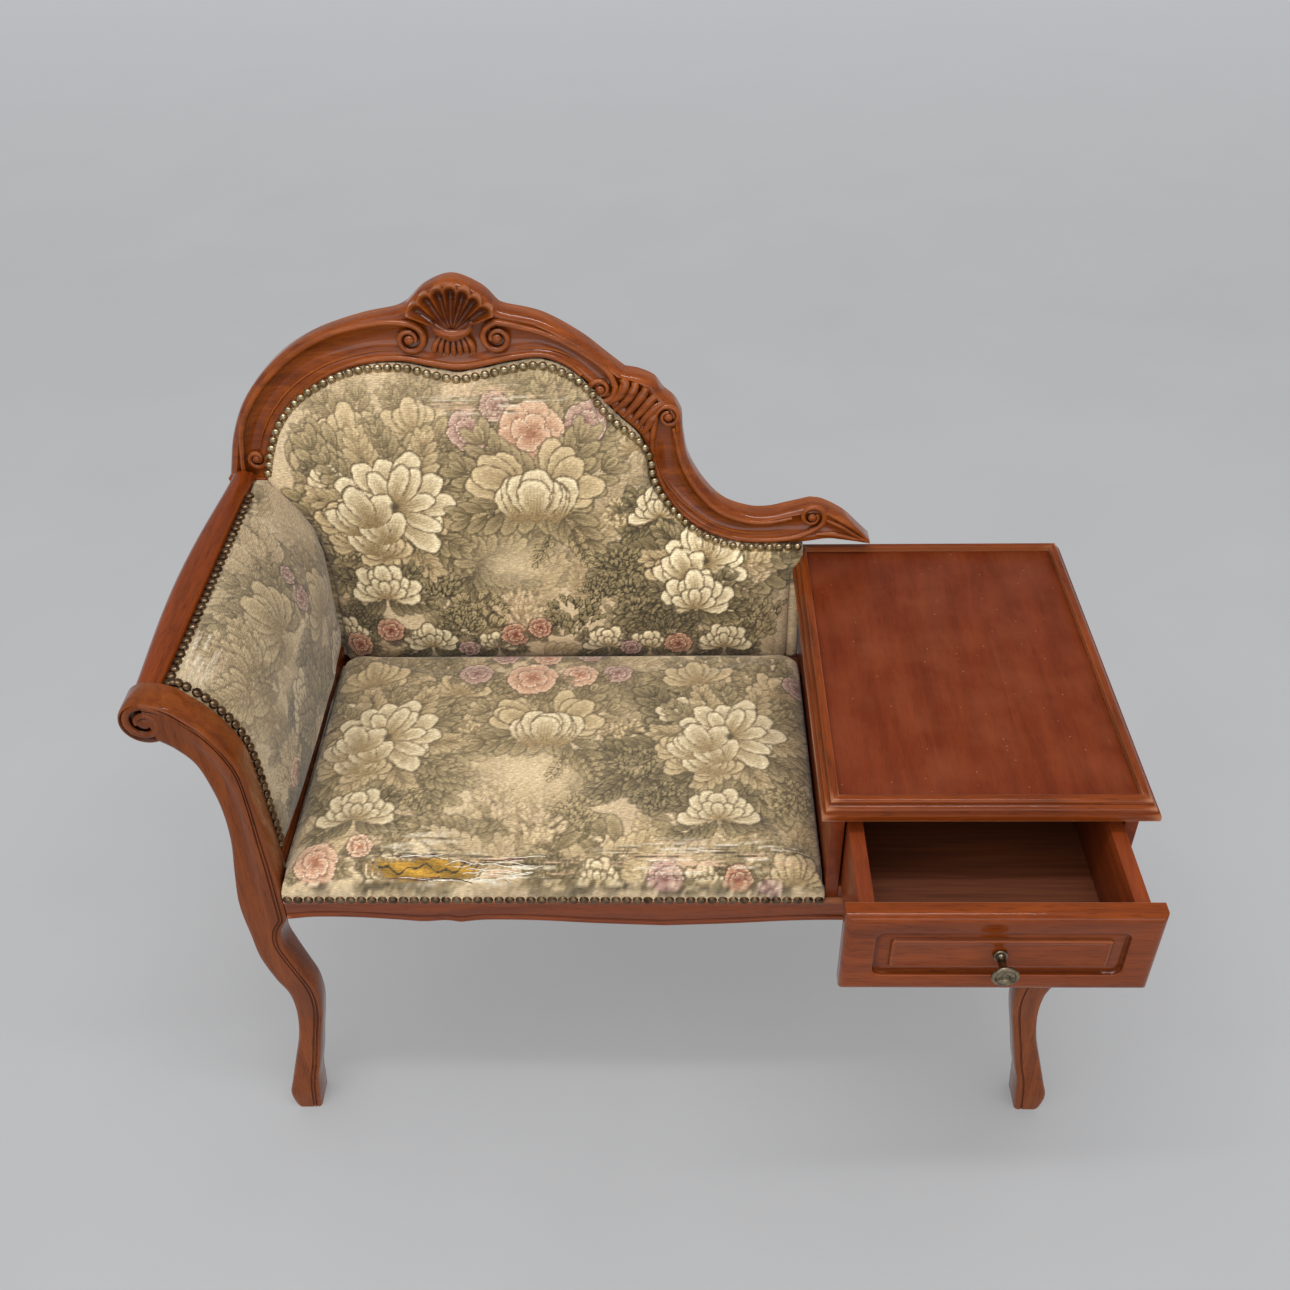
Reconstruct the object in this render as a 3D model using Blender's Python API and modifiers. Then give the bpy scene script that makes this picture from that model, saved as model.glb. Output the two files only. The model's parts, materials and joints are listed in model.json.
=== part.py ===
"""Telephone bench: upholstered seat, one scrolled arm, shaped back with a carved crest, drawer cabinet.

Bench frame before centring: x = 0 in the middle of the seat frame, y = 0 on the front face of its
rails, z = 0 on the floor.  +X runs to the cabinet, +Y to the back.  The drawer stands part open.
"""
import math

import bmesh
import bpy
from mathutils import Vector

# Fits
GLUE_GAP = 0.0003              # joint line between pieces that are glued, screwed or tacked together
SLIDE_GAP = 0.0006             # running gap under and over the drawer sides

# Seat frame
FRAME_WIDTH = 0.986            # over the knees of the front legs
FRAME_DEPTH = 0.465
FRAME_HEIGHT = 0.405           # floor to the top of the rails
RAIL_THICKNESS = 0.022
RAIL_HEIGHT = 0.045
FRONT_BOARD = 0.038            # board that the front post and leg are sawn from
LEG_BLOCK = 0.053              # width of a front leg where the rail meets it
REAR_LEG_WIDTH = 0.034
REAR_LEG_DEPTH = 0.038
REAR_LEG_SPLAY = 0.024
REAR_LEG_TAPER = 0.0055        # how much thinner the foot is than the block
CORNER_BLOCK = 0.050
CORNER_BLOCK_HEIGHT = 0.030

# Seat
SEAT_BOARD = 0.008
SEAT_EDGE = 0.016              # height of the seat pad where its crown starts
SEAT_CROWN = 0.026
SEAT_REAR_GAP = 0.026          # from the seat pad to the foot of the back frame
SEAT_CORNER = 0.018
CROWN_REACH = 0.050            # width of the rounded border of a pad

# Arm
ARM_HEIGHT = 0.302             # top of the scroll above the seat frame
SCROLL_RADIUS = 0.0275
SCROLL_REACH = 0.041           # scroll centre outside the frame
SCROLL_TURN = math.radians(203)      # round edge of the scroll, from its top to the post
ARM_RAIL_WIDTH = 0.030
ARM_RAIL_DROP = 0.004          # top of the arm rail below the top of the scroll
ARM_RAIL_OUTSET = 0.0034       # arm rail outside the scroll centre
ARM_FOOT_HEIGHT = 0.030
ARM_FOOT_SETBACK = 0.012
ARM_PANEL = 0.004
ARM_PANEL_LEAN = math.radians(45)    # lean of the outer panel where it meets the arm rail
ARM_CROWN = 0.007

# Back
BACK_HEIGHT = 0.543            # along the slope, from the seat frame to the top of the crest
BACK_RAKE = math.radians(5.0)
BACK_THICKNESS = 0.036
BACK_SETBACK = 0.034           # foot of the back frame in front of the rear of the seat frame
STILE_WIDTH = 0.028
LOWER_RAIL_HEIGHT = 0.042
PAD_DEPTH = 0.012              # back pad let into the frame
PAD_EDGE = 0.004               # edge of the back pad in front of the frame
PAD_CROWN = 0.020
BACK_PANEL = 0.004

# Cabinet
CABINET_WIDTH = 0.333
CABINET_OVERHANG = 0.023       # right side outside the seat frame
CABINET_BOARD = 0.015
CABINET_FLOOR = 0.010
CABINET_BACK = 0.006
CABINET_SETBACK = 0.006
TOP_RAIL_HEIGHT = 0.018
TOP_RAIL_DEPTH = 0.020
TOP_OVERHANG = 0.0135
TOP_FRONT_OVERHANG = 0.019
TOP_BACK_OVERHANG = 0.021
TOP_MOULDING_WIDTH = 0.019
TOP_MOULDING_HEIGHT = 0.023
TOP_PANEL = 0.016
TOP_TO_BACK_GAP = 0.001        # between the back frame and the edge of the cabinet top
RUNNER_WIDTH = 0.020
RUNNER_HEIGHT = 0.009

# Drawer
DRAWER_FRONT_HEIGHT = 0.119
DRAWER_FRONT_THICKNESS = 0.020
DRAWER_FRONT_LIFT = 0.007      # lower edge of the drawer front above the seat frame
DRAWER_FRONT_REVEAL = 0.003    # cabinet side left showing beside the drawer front
DRAWER_SIDE = 0.0165
DRAWER_SIDE_GAP = 0.0026
DRAWER_SIDE_DROP = 0.0014      # top of the sides below the top of the front
DRAWER_LENGTH = 0.400
DRAWER_BACK = 0.012
DRAWER_BACK_DROP = 0.010
DRAWER_FLOOR = 0.005
DRAWER_FLOOR_LIFT = 0.008
DRAWER_GROOVE = 0.006
DRAWER_CLOSED_GAP = 0.0005
DRAWER_SHOWN_OPEN = 0.114
FIELD_MARGIN = 0.026           # from the edge of the drawer front to its sunk moulding
EDGE_MOULDING = 0.009
MOULDING_DEPTH = 0.004

# Knob
KNOB_RADIUS = 0.0145
KNOB_LENGTH = 0.026
ROSETTE_RADIUS = 0.008
ROSETTE_THICKNESS = 0.003
SCREW_RADIUS = 0.0019
SCREW_HEAD_RADIUS = 0.0042
SCREW_HEAD_HEIGHT = 0.0024
SCREW_IN_KNOB = 0.010
SCREW_CLEARANCE = 0.0003

# Outlines.  Legs: distance in from the side of the frame, share of the frame height.
LEG_OUTER = ((0.0, 0.94), (0.003, 0.84), (0.006, 0.74), (0.017, 0.637), (0.028, 0.563), (0.030, 0.467),
             (0.025, 0.351), (0.013, 0.230), (0.002, 0.121), (-0.003, 0.07), (0.0, 0.02), (0.003, 0.0))
LEG_INNER = ((0.034, 0.0), (0.036, 0.06), (0.039, 0.14), (0.046, 0.222), (0.054, 0.338), (0.062, 0.450),
             (0.065, 0.52), (0.063, 0.59), (0.056, 0.650), (0.045, 0.738), (0.039, 0.80), (0.042, 0.867))
LEG_BRACKET = 0.916
LEG_FRONT = ((-0.008, 0.0), (-0.008, 0.07), (-0.002, 0.22), (0.003, 0.45), (0.001, 0.65), (0.0, 0.80))
LEG_REAR = ((0.0, 0.85), (0.004, 0.65), (0.007, 0.45), (0.007, 0.22), (0.005, 0.07), (0.005, 0.0))
# Rear leg: share of the splay, share of the height under the block.
REAR_LEG_SWEEP = ((0.0, 1.0), (0.1, 0.75), (0.32, 0.45), (0.65, 0.2), (1.0, 0.0))
# Arm post: distance in from the side of the frame, share of the arm height.
POST_INNER = ((0.053, 0.172), (0.051, 0.338), (0.049, 0.513), (0.045, 0.679), (0.035, 0.778),
              (0.019, 0.868), (0.001, 0.930), (-0.017, 0.980))
POST_OUTER = ((-0.016, 0.785), (0.0, 0.712), (0.009, 0.589), (0.013, 0.467), (0.012, 0.321),
              (0.006, 0.169), (0.002, 0.063))
# Swelling of the arm pad: share of its length, share of its crown.
ARM_SWELL = ((0.08, 0.5), (0.25, 0.9), (0.5, 1.0), (0.75, 0.9), (0.92, 0.5), (1.0, 0.0))
# Front rail, one half: share of the half length, rise of the lower edge above its lowest point.
RAIL_SWEEP = ((0.0, 0.0), (0.18, 0.004), (0.335, 0.009), (0.468, 0.010), (0.54, 0.006))
RAIL_TAIL = ((0.54, 0.006), (0.58, 0.009), (0.64, 0.007), (0.705, 0.010), (0.81, 0.014), (0.92, 0.015),
             (1.0, 0.011))
# Back: share of the width from the side of the frame to the cabinet, share of the back height.
CREST_ARCH = ((-0.0998, 0.530), (-0.0786, 0.634), (-0.0408, 0.727), (0.0257, 0.816), (0.1013, 0.873),
              (0.189, 0.910), (0.2555, 0.926), (0.2797, 0.941))
CREST_SHELL = ((0.2797, 0.941), (0.3129, 0.978), (0.3643, 1.0), (0.4157, 0.974), (0.4444, 0.937))
CREST_SHOULDER = ((0.4444, 0.937), (0.458, 0.930), (0.5246, 0.910), (0.5926, 0.862), (0.6455, 0.808),
                  (0.6727, 0.781))
CREST_REEDS = ((0.6727, 0.781), (0.7014, 0.773), (0.7287, 0.757), (0.7453, 0.729), (0.7664, 0.705),
               (0.78, 0.674))
CREST_SWEEP = ((0.78, 0.674), (0.7831, 0.624), (0.7937, 0.560), (0.8224, 0.495), (0.8617, 0.444),
               (0.9116, 0.420), (0.9509, 0.418), (0.9902, 0.429), (1.0325, 0.442))
CREST_LEAF = ((1.0325, 0.442), (1.0582, 0.436), (1.099, 0.409), (1.1308, 0.372), (1.1565, 0.341))
CREST_LEAF_UNDER = ((1.1565, 0.341), (1.099, 0.350), (1.0673, 0.353), (1.028, 0.346), (1.0, 0.3425))
CREST_INNER = ((-0.0242, 0.530), (-0.0076, 0.600), (0.0197, 0.669), (0.0665, 0.735), (0.1285, 0.783),
               (0.1995, 0.810), (0.263, 0.814), (0.3658, 0.790), (0.4656, 0.814), (0.5215, 0.820),
               (0.5669, 0.799), (0.6107, 0.753), (0.6606, 0.681), (0.6999, 0.634), (0.715, 0.580),
               (0.7211, 0.516), (0.7513, 0.455), (0.7937, 0.403), (0.842, 0.365), (0.901, 0.346),
               (1.0, 0.3425))
STILE_OUTER = ((0.003, 0.0), (0.0106, 0.095), (0.0181, 0.18), (0.0166, 0.26), (0.0, 0.35),
               (-0.0378, 0.433), (-0.0831, 0.487), (-0.0998, 0.530))
STILE_INNER = ((0.0741, 0.0), (0.0771, 0.11), (0.0756, 0.22), (0.0695, 0.313), (0.0454, 0.405),
               (0.0076, 0.470), (-0.0242, 0.530))
BACK_POLE = (0.44, 0.28)       # fullest place of the back pad
# Top moulding: share of its width in from the outer edge, share of its height.
MOULDING_SECTION = ((0.0, 0.0), (0.0, 0.30), (0.07, 0.40), (0.2, 0.42), (0.22, 0.55), (0.3, 0.68),
                    (0.47, 0.74), (0.48, 0.86), (0.56, 0.96), (0.7, 1.0), (1.0, 1.0), (1.0, 0.0))
# Turned brass: share of the radius, share of the length.  The stem is measured on the rosette.
ROSETTE_EDGE = ((0.6, 1.0), (1.0, 0.5), (1.0, 0.0))
KNOB_HEAD = ((0.55, 0.966), (0.8, 0.916), (1.0, 0.806), (1.0, 0.75), (0.7, 0.666))
KNOB_STEM = ((0.55, 0.375), (0.55, 0.1), (0.7, 0.0))

# Places that several pieces share
FRAME_LEFT = -FRAME_WIDTH / 2
FRAME_RIGHT = FRAME_WIDTH / 2
BACK_FOOT = FRAME_DEPTH - BACK_SETBACK
CABINET_RIGHT = FRAME_RIGHT + CABINET_OVERHANG
CABINET_LEFT = CABINET_RIGHT - CABINET_WIDTH
CABINET_MIDDLE = (CABINET_LEFT + CABINET_RIGHT) / 2
CABINET_INNER_LEFT = CABINET_LEFT + CABINET_BOARD
CABINET_INNER_RIGHT = CABINET_RIGHT - CABINET_BOARD
CABINET_BASE = FRAME_HEIGHT + GLUE_GAP
CABINET_CEILING = FRAME_HEIGHT + DRAWER_FRONT_LIFT + DRAWER_FRONT_HEIGHT + TOP_RAIL_HEIGHT
CABINET_REAR = FRAME_DEPTH - GLUE_GAP
TOP_LEFT = CABINET_LEFT - TOP_OVERHANG
TOP_RIGHT = CABINET_RIGHT + TOP_OVERHANG
TOP_FRONT = CABINET_SETBACK - TOP_FRONT_OVERHANG
TOP_REAR = CABINET_REAR + TOP_BACK_OVERHANG
TOP_BASE = CABINET_CEILING + GLUE_GAP
BACK_RIGHT = TOP_LEFT - TOP_TO_BACK_GAP
DRAWER_BASE = FRAME_HEIGHT + DRAWER_FRONT_LIFT
DRAWER_TOP = DRAWER_BASE + DRAWER_FRONT_HEIGHT
DRAWER_SIDE_TOP = DRAWER_TOP - DRAWER_SIDE_DROP
DRAWER_SIDE_BASE = CABINET_BASE + CABINET_FLOOR + GLUE_GAP + RUNNER_HEIGHT + SLIDE_GAP
DRAWER_FLOOR_BASE = DRAWER_SIDE_BASE + DRAWER_FLOOR_LIFT
DRAWER_FLOOR_TOP = DRAWER_FLOOR_BASE + DRAWER_FLOOR
DRAWER_BOX_LEFT = CABINET_INNER_LEFT + DRAWER_SIDE_GAP
DRAWER_BOX_RIGHT = CABINET_INNER_RIGHT - DRAWER_SIDE_GAP
DRAWER_FRONT_REAR = CABINET_SETBACK - DRAWER_CLOSED_GAP
DRAWER_FRONT_FACE = DRAWER_FRONT_REAR - DRAWER_FRONT_THICKNESS
KNOB_CENTRE = (DRAWER_BASE + DRAWER_TOP) / 2
SCREW_BORE = SCREW_RADIUS + SCREW_CLEARANCE
SEAT_BOARD_TOP = FRAME_HEIGHT + GLUE_GAP + SEAT_BOARD
ARM_FOOT_TOP = FRAME_HEIGHT + GLUE_GAP + ARM_FOOT_HEIGHT
PAD_FOOT = SEAT_BOARD + 2 * GLUE_GAP + PAD_DEPTH * math.tan(BACK_RAKE)
KNOB_FRONT = DRAWER_FRONT_FACE - 2 * GLUE_GAP - ROSETTE_THICKNESS - KNOB_LENGTH - DRAWER_SHOWN_OPEN
CREST_REAR = BACK_FOOT + BACK_HEIGHT * math.sin(BACK_RAKE) + BACK_THICKNESS * math.cos(BACK_RAKE)
SCROLL_LEFT = FRAME_LEFT - SCROLL_REACH - SCROLL_RADIUS

CURVE_STEPS = 3                # chords between two points of a smooth outline
ROUND_STEPS = 24
CROWN_STEPS = 4
UPRIGHT = (math.radians(90), 0.0, 0.0)
SIDEWAYS = (math.radians(90), 0.0, math.radians(90))


def clear_scene():
    for item in list(bpy.data.objects):
        bpy.data.objects.remove(item, do_unlink=True)


def collection(name):
    group = bpy.data.collections.new(name)
    bpy.context.scene.collection.children.link(group)
    return group


def finish(name, colour, roughness, metallic=0.0):
    material = bpy.data.materials.new(name)
    material.use_nodes = True
    shader = material.node_tree.nodes["Principled BSDF"]
    shader.inputs["Base Color"].default_value = (*colour, 1.0)
    shader.inputs["Roughness"].default_value = roughness
    shader.inputs["Metallic"].default_value = metallic
    return material


def mahogany_stain():
    return finish("mahogany_stained_beech", (0.205, 0.048, 0.018), 0.28)


def veneer():
    return finish("mahogany_veneer", (0.165, 0.032, 0.013), 0.32)


def bare_beech():
    return finish("bare_beech", (0.42, 0.25, 0.13), 0.6)


def plywood():
    return finish("plywood", (0.36, 0.20, 0.10), 0.65)


def tapestry():
    return finish("floral_tapestry", (0.46, 0.37, 0.21), 0.9)


def backing_cloth():
    return finish("backing_cloth", (0.30, 0.24, 0.15), 0.9)


def antique_brass():
    return finish("antique_brass", (0.35, 0.27, 0.15), 0.38, 1.0)


def steel():
    return finish("steel", (0.5, 0.5, 0.5), 0.35, 1.0)


def empty(name, parent=None, location=(0.0, 0.0, 0.0), rotation=(0.0, 0.0, 0.0)):
    item = bpy.data.objects.new(name, None)
    PARTS.objects.link(item)
    item.parent = parent
    item.location = location
    item.rotation_euler = rotation
    return item


def add(name, data, material, parent, location=(0.0, 0.0, 0.0), rotation=(0.0, 0.0, 0.0), group=None):
    item = bpy.data.objects.new(name, data)
    (group or PARTS).objects.link(item)
    item.parent = parent
    item.location = location
    item.rotation_euler = rotation
    if material:
        data.materials.append(material)
    return item


def make_cutter(item):
    item.hide_render = True
    item.display_type = "WIRE"
    return item


def cut(item, cutter, operation="DIFFERENCE"):
    boolean = item.modifiers.new(cutter.name, "BOOLEAN")
    boolean.operation = operation
    boolean.object = cutter
    boolean.solver = "EXACT"


def mesh_from(bm, name):
    bmesh.ops.recalc_face_normals(bm, faces=bm.faces)
    if bm.calc_volume(signed=True) < 0:
        bmesh.ops.reverse_faces(bm, faces=bm.faces)
    mesh = bpy.data.meshes.new(name)
    bm.to_mesh(mesh)
    bm.free()
    return mesh


def box_mesh(name, size):
    bm = bmesh.new()
    bmesh.ops.create_cube(bm, size=1.0)
    bmesh.ops.scale(bm, vec=size, verts=bm.verts)
    return mesh_from(bm, name)


def box(name, low, high, material, parent, group=None):
    low = Vector(low)
    high = Vector(high)
    return add(name, box_mesh(name, high - low), material, parent, (low + high) / 2, group=group)


def smooth(points, steps=CURVE_STEPS):
    """Points on a smooth curve through the given ones."""
    ends = [points[0], *points, points[-1]]
    path = []
    for before, start, end, after in zip(ends, ends[1:], ends[2:], ends[3:]):
        for step in range(steps):
            t = step / steps
            weights = (-t + 2 * t * t - t ** 3, 2 - 5 * t * t + 3 * t ** 3,
                       t + 4 * t * t - 3 * t ** 3, -t * t + t ** 3)
            corners = (before, start, end, after)
            path.append(tuple(sum(w * p[i] for w, p in zip(weights, corners)) / 2 for i in (0, 1)))
    path.append(tuple(points[-1]))
    return path


def chain(*runs):
    """Smooth runs joined end to start, with a corner where two of them meet."""
    path = []
    for run in runs:
        path.extend(smooth(run)[:-1])
    path.append(tuple(runs[-1][-1]))
    return path


def arc(centre, radius, start, end, steps):
    turns = [start + (end - start) * step / steps for step in range(steps + 1)]
    return [(centre[0] + radius * math.cos(a), centre[1] + radius * math.sin(a)) for a in turns]


def offset(path, distance):
    """The path moved to its left by a distance, corner by corner."""
    moved = []
    for index, point in enumerate(path):
        before = Vector(path[max(index - 1, 0)])
        after = Vector(path[min(index + 1, len(path) - 1)])
        along = (after - before).normalized()
        moved.append((point[0] - along.y * distance, point[1] + along.x * distance))
    return moved


def outline_curve(name, outline, thickness):
    """A flat board with the given outline, its thickness centred on its plane."""
    curve = bpy.data.curves.new(name, "CURVE")
    curve.dimensions = "2D"
    curve.fill_mode = "BOTH"
    curve.extrude = thickness / 2
    spline = curve.splines.new("POLY")
    spline.points.add(len(outline) - 1)
    for point, place in zip(spline.points, outline):
        point.co = (place[0], place[1], 0.0, 1.0)
    spline.use_cyclic_u = True
    return curve


def upright_board(name, outline, front, thickness, material, parent, group=None):
    """A board cut to an outline of x and height, its front face at the given depth."""
    curve = outline_curve(name, outline, thickness)
    return add(name, curve, material, parent, (0.0, front + thickness / 2, 0.0), UPRIGHT, group)


def sideways_board(name, outline, left, thickness, material, parent, group=None):
    """A board cut to an outline of depth and height, its left face at the given x."""
    curve = outline_curve(name, outline, thickness)
    return add(name, curve, material, parent, (left + thickness / 2, 0.0, 0.0), SIDEWAYS, group)


def as_mesh(item):
    """The same piece as a welded mesh, ready to be cut or sawn."""
    bpy.context.view_layer.update()
    evaluated = item.evaluated_get(bpy.context.evaluated_depsgraph_get())
    mesh = bpy.data.meshes.new_from_object(evaluated)
    bm = bmesh.new()
    bm.from_mesh(mesh)
    bmesh.ops.remove_doubles(bm, verts=bm.verts, dist=1e-6)
    bmesh.ops.recalc_face_normals(bm, faces=bm.faces)
    bm.to_mesh(mesh)
    bm.free()
    name = item.name
    group = item.users_collection[0]
    parent = item.parent
    location = item.location.copy()
    rotation = item.rotation_euler.copy()
    bpy.data.objects.remove(item, do_unlink=True)
    return add(name, mesh, None, parent, location, rotation, group)


def grow(bm, face, keep_base):
    """Extrudes a face in place and gives back the new one; the old one stays only as an end cap."""
    grown = bmesh.ops.extrude_face_region(bm, geom=[face])
    if not keep_base:
        bmesh.ops.delete(bm, geom=[face], context="FACES_ONLY")
    return [part for part in grown["geom"] if isinstance(part, bmesh.types.BMFace)][0]


def turned(name, profile, material, parent, location):
    """A turned piece: radius and height points, outer side first, on an axis that points to the front."""
    mesh = bpy.data.meshes.new(name)
    bm = bmesh.new()
    points = [bm.verts.new((radius, 0.0, height)) for radius, height in profile]
    for first, second in zip(points, points[1:]):
        bm.edges.new((first, second))
    bm.to_mesh(mesh)
    bm.free()
    item = add(name, mesh, material, parent, location, UPRIGHT)
    screw = item.modifiers.new("turning", "SCREW")
    screw.steps = ROUND_STEPS
    screw.render_steps = ROUND_STEPS
    screw.use_merge_vertices = True
    screw.merge_threshold = 0.00001
    screw.use_smooth_shade = True
    return item


def pillow(name, outline, pole, depth, crown, material, parent, location, rotation):
    """A pad over an outline: straight edge of the given depth, then a crown that closes in on a pole."""
    pole = Vector(pole)
    radius = min((Vector(point) - pole).length for point in outline)
    bm = bmesh.new()
    top = bm.faces.new([bm.verts.new((x, y, 0.0)) for x, y in outline])
    for step in range(CROWN_STEPS + 1):
        turn = math.radians(90) * step / CROWN_STEPS
        share = 1 - CROWN_REACH * (1 - math.cos(turn)) / radius
        top = grow(bm, top, keep_base=step == 0)
        for vert, point in zip(top.verts, outline):
            place = pole + (Vector(point) - pole) * share
            vert.co = (place.x, place.y, depth + crown * math.sin(turn))
    bmesh.ops.triangulate(bm, faces=[face for face in bm.faces if len(face.verts) > 4])
    return add(name, mesh_from(bm, name), material, parent, location, rotation)


def from_left(points, height, base):
    """Points of an arm or leg outline on the left of the frame."""
    return [(FRAME_LEFT + x, base + share * height) for x, share in points]


def from_right(points, height, base):
    return [(FRAME_RIGHT - x, base + share * height) for x, share in points]


def leg_side_view(name, top, left, right):
    """The shape of a front leg seen from the side, wide enough to saw any leg to it."""
    front = [(y, share * FRAME_HEIGHT) for y, share in LEG_FRONT]
    rear = [(FRONT_BOARD - y, share * FRAME_HEIGHT) for y, share in LEG_REAR]
    floor = -FRONT_BOARD
    outline = [(front[0][0], floor), *smooth(front), (0.0, top), (FRONT_BOARD, top), *smooth(rear),
               (rear[-1][0], floor)]
    board = sideways_board(name, outline, left, right - left, None, ROOT, CUTTERS)
    return make_cutter(as_mesh(board))


def sawn_leg(name, outline, material):
    """A front leg sawn to its front view from a thick board, then to its side view."""
    blank = upright_board(name, outline, -FRONT_BOARD, 3 * FRONT_BOARD, None, ROOT)
    leg = as_mesh(blank)
    leg.data.materials.append(material)
    sides = [x for x, z in outline]
    top = max(z for x, z in outline) + FRONT_BOARD
    view = leg_side_view(name + "_side_view", top, min(sides) - FRONT_BOARD, max(sides) + FRONT_BOARD)
    cut(leg, view, "INTERSECT")
    return leg


def scroll_centre():
    return FRAME_LEFT - SCROLL_REACH, FRAME_HEIGHT + ARM_HEIGHT - SCROLL_RADIUS


def post_inner():
    """Inner edge of the arm post, from the rail up to the top of the scroll."""
    centre = scroll_centre()
    start = (FRAME_LEFT + LEG_BLOCK, FRAME_HEIGHT)
    return [start, *from_left(POST_INNER, ARM_HEIGHT, FRAME_HEIGHT), (centre[0], centre[1] + SCROLL_RADIUS)]


def post_outer():
    """Outer edge of the arm post, from under the scroll down to the knee."""
    return from_left(POST_OUTER, ARM_HEIGHT, FRAME_HEIGHT)


def left_front_post():
    top = math.radians(90)
    scroll = arc(scroll_centre(), SCROLL_RADIUS, top, top + SCROLL_TURN, 2 * ROUND_STEPS // 3)
    outer = [scroll[-1], *post_outer(), *from_left(LEG_OUTER, FRAME_HEIGHT, 0.0)]
    inner = from_left(LEG_INNER, FRAME_HEIGHT, 0.0)
    inner.append((FRAME_LEFT + LEG_BLOCK, LEG_BRACKET * FRAME_HEIGHT))
    outline = [*smooth(post_inner())[:-1], *scroll[:-1], *smooth(outer), *smooth(inner)]
    sawn_leg("left_front_post", outline, mahogany_stain())


def right_front_leg():
    outer = [(FRAME_RIGHT, FRAME_HEIGHT), *from_right(LEG_OUTER, FRAME_HEIGHT, 0.0)]
    inner = from_right(LEG_INNER, FRAME_HEIGHT, 0.0)
    inner.append((FRAME_RIGHT - LEG_BLOCK, LEG_BRACKET * FRAME_HEIGHT))
    outline = [*smooth(outer), *smooth(inner), (FRAME_RIGHT - LEG_BLOCK, FRAME_HEIGHT)]
    sawn_leg("right_front_leg", outline, mahogany_stain())


def rear_leg(name, left):
    rear = FRAME_DEPTH
    front = FRAME_DEPTH - REAR_LEG_DEPTH
    block = FRAME_HEIGHT - RAIL_HEIGHT
    back_edge = [(rear + out * REAR_LEG_SPLAY, block * share) for out, share in REAR_LEG_SWEEP]
    taper = REAR_LEG_SPLAY + REAR_LEG_TAPER
    front_edge = [(front + out * taper, block * share) for out, share in REAR_LEG_SWEEP[::-1]]
    outline = [(rear, FRAME_HEIGHT), *smooth(back_edge), *smooth(front_edge), (front, FRAME_HEIGHT)]
    sideways_board(name, outline, left, REAR_LEG_WIDTH, mahogany_stain(), ROOT)


def front_rail():
    reach = FRAME_WIDTH / 2 - LEG_BLOCK - GLUE_GAP
    lowest = FRAME_HEIGHT - RAIL_HEIGHT
    half = [(share * reach, lowest + rise) for share, rise in chain(RAIL_SWEEP, RAIL_TAIL)]
    left_half = [(-x, z) for x, z in half]
    outline = [*left_half[::-1], *half[1:], (reach, FRAME_HEIGHT), (-reach, FRAME_HEIGHT)]
    upright_board("front_rail", outline, 0.0, RAIL_THICKNESS, mahogany_stain(), ROOT)


def plain_rails():
    """Rear rail, side rails and the cross rail that carries the left side of the cabinet."""
    base = FRAME_HEIGHT - RAIL_HEIGHT
    rear_front = FRAME_DEPTH - REAR_LEG_DEPTH
    inside = FRAME_WIDTH / 2 - REAR_LEG_WIDTH
    box("rear_rail", (-inside + GLUE_GAP, rear_front, base),
        (inside - GLUE_GAP, rear_front + RAIL_THICKNESS, FRAME_HEIGHT), bare_beech(), ROOT)
    ends = (FRONT_BOARD + GLUE_GAP, rear_front - GLUE_GAP)
    box("left_side_rail", (-inside - RAIL_THICKNESS, ends[0], base), (-inside, ends[1], FRAME_HEIGHT),
        mahogany_stain(), ROOT)
    box("right_side_rail", (inside, ends[0], base), (inside + RAIL_THICKNESS, ends[1], FRAME_HEIGHT),
        mahogany_stain(), ROOT)
    middle = CABINET_LEFT
    box("cross_rail", (middle - RAIL_THICKNESS / 2, RAIL_THICKNESS + GLUE_GAP, base),
        (middle + RAIL_THICKNESS / 2, ends[1], FRAME_HEIGHT), bare_beech(), ROOT)


def corner_blocks():
    inside = FRAME_WIDTH / 2 - REAR_LEG_WIDTH - GLUE_GAP
    front = FRONT_BOARD + GLUE_GAP
    rear = FRAME_DEPTH - REAR_LEG_DEPTH - GLUE_GAP
    corners = {"front_left": (-inside, front, 1, 1), "front_right": (inside, front, -1, 1),
               "rear_left": (-inside, rear, 1, -1), "rear_right": (inside, rear, -1, -1)}
    top = FRAME_HEIGHT - RAIL_HEIGHT / 2 + CORNER_BLOCK_HEIGHT / 2
    for place, (x, y, across, along) in corners.items():
        outline = [(x, y), (x + across * CORNER_BLOCK, y), (x, y + along * CORNER_BLOCK)]
        curve = outline_curve("corner_block_" + place, outline, CORNER_BLOCK_HEIGHT)
        add("corner_block_" + place, curve, bare_beech(), ROOT, (0.0, 0.0, top - CORNER_BLOCK_HEIGHT / 2))


def rounded_rectangle(low, high, radius):
    left = low[0] + radius
    right = high[0] - radius
    near = low[1] + radius
    far = high[1] - radius
    quarter = math.radians(90)
    outline = []
    for turn, centre in enumerate([(right, near), (right, far), (left, far), (left, near)]):
        outline.extend(arc(centre, radius, quarter * (turn - 1), quarter * turn, CROWN_STEPS))
    return outline


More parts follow.
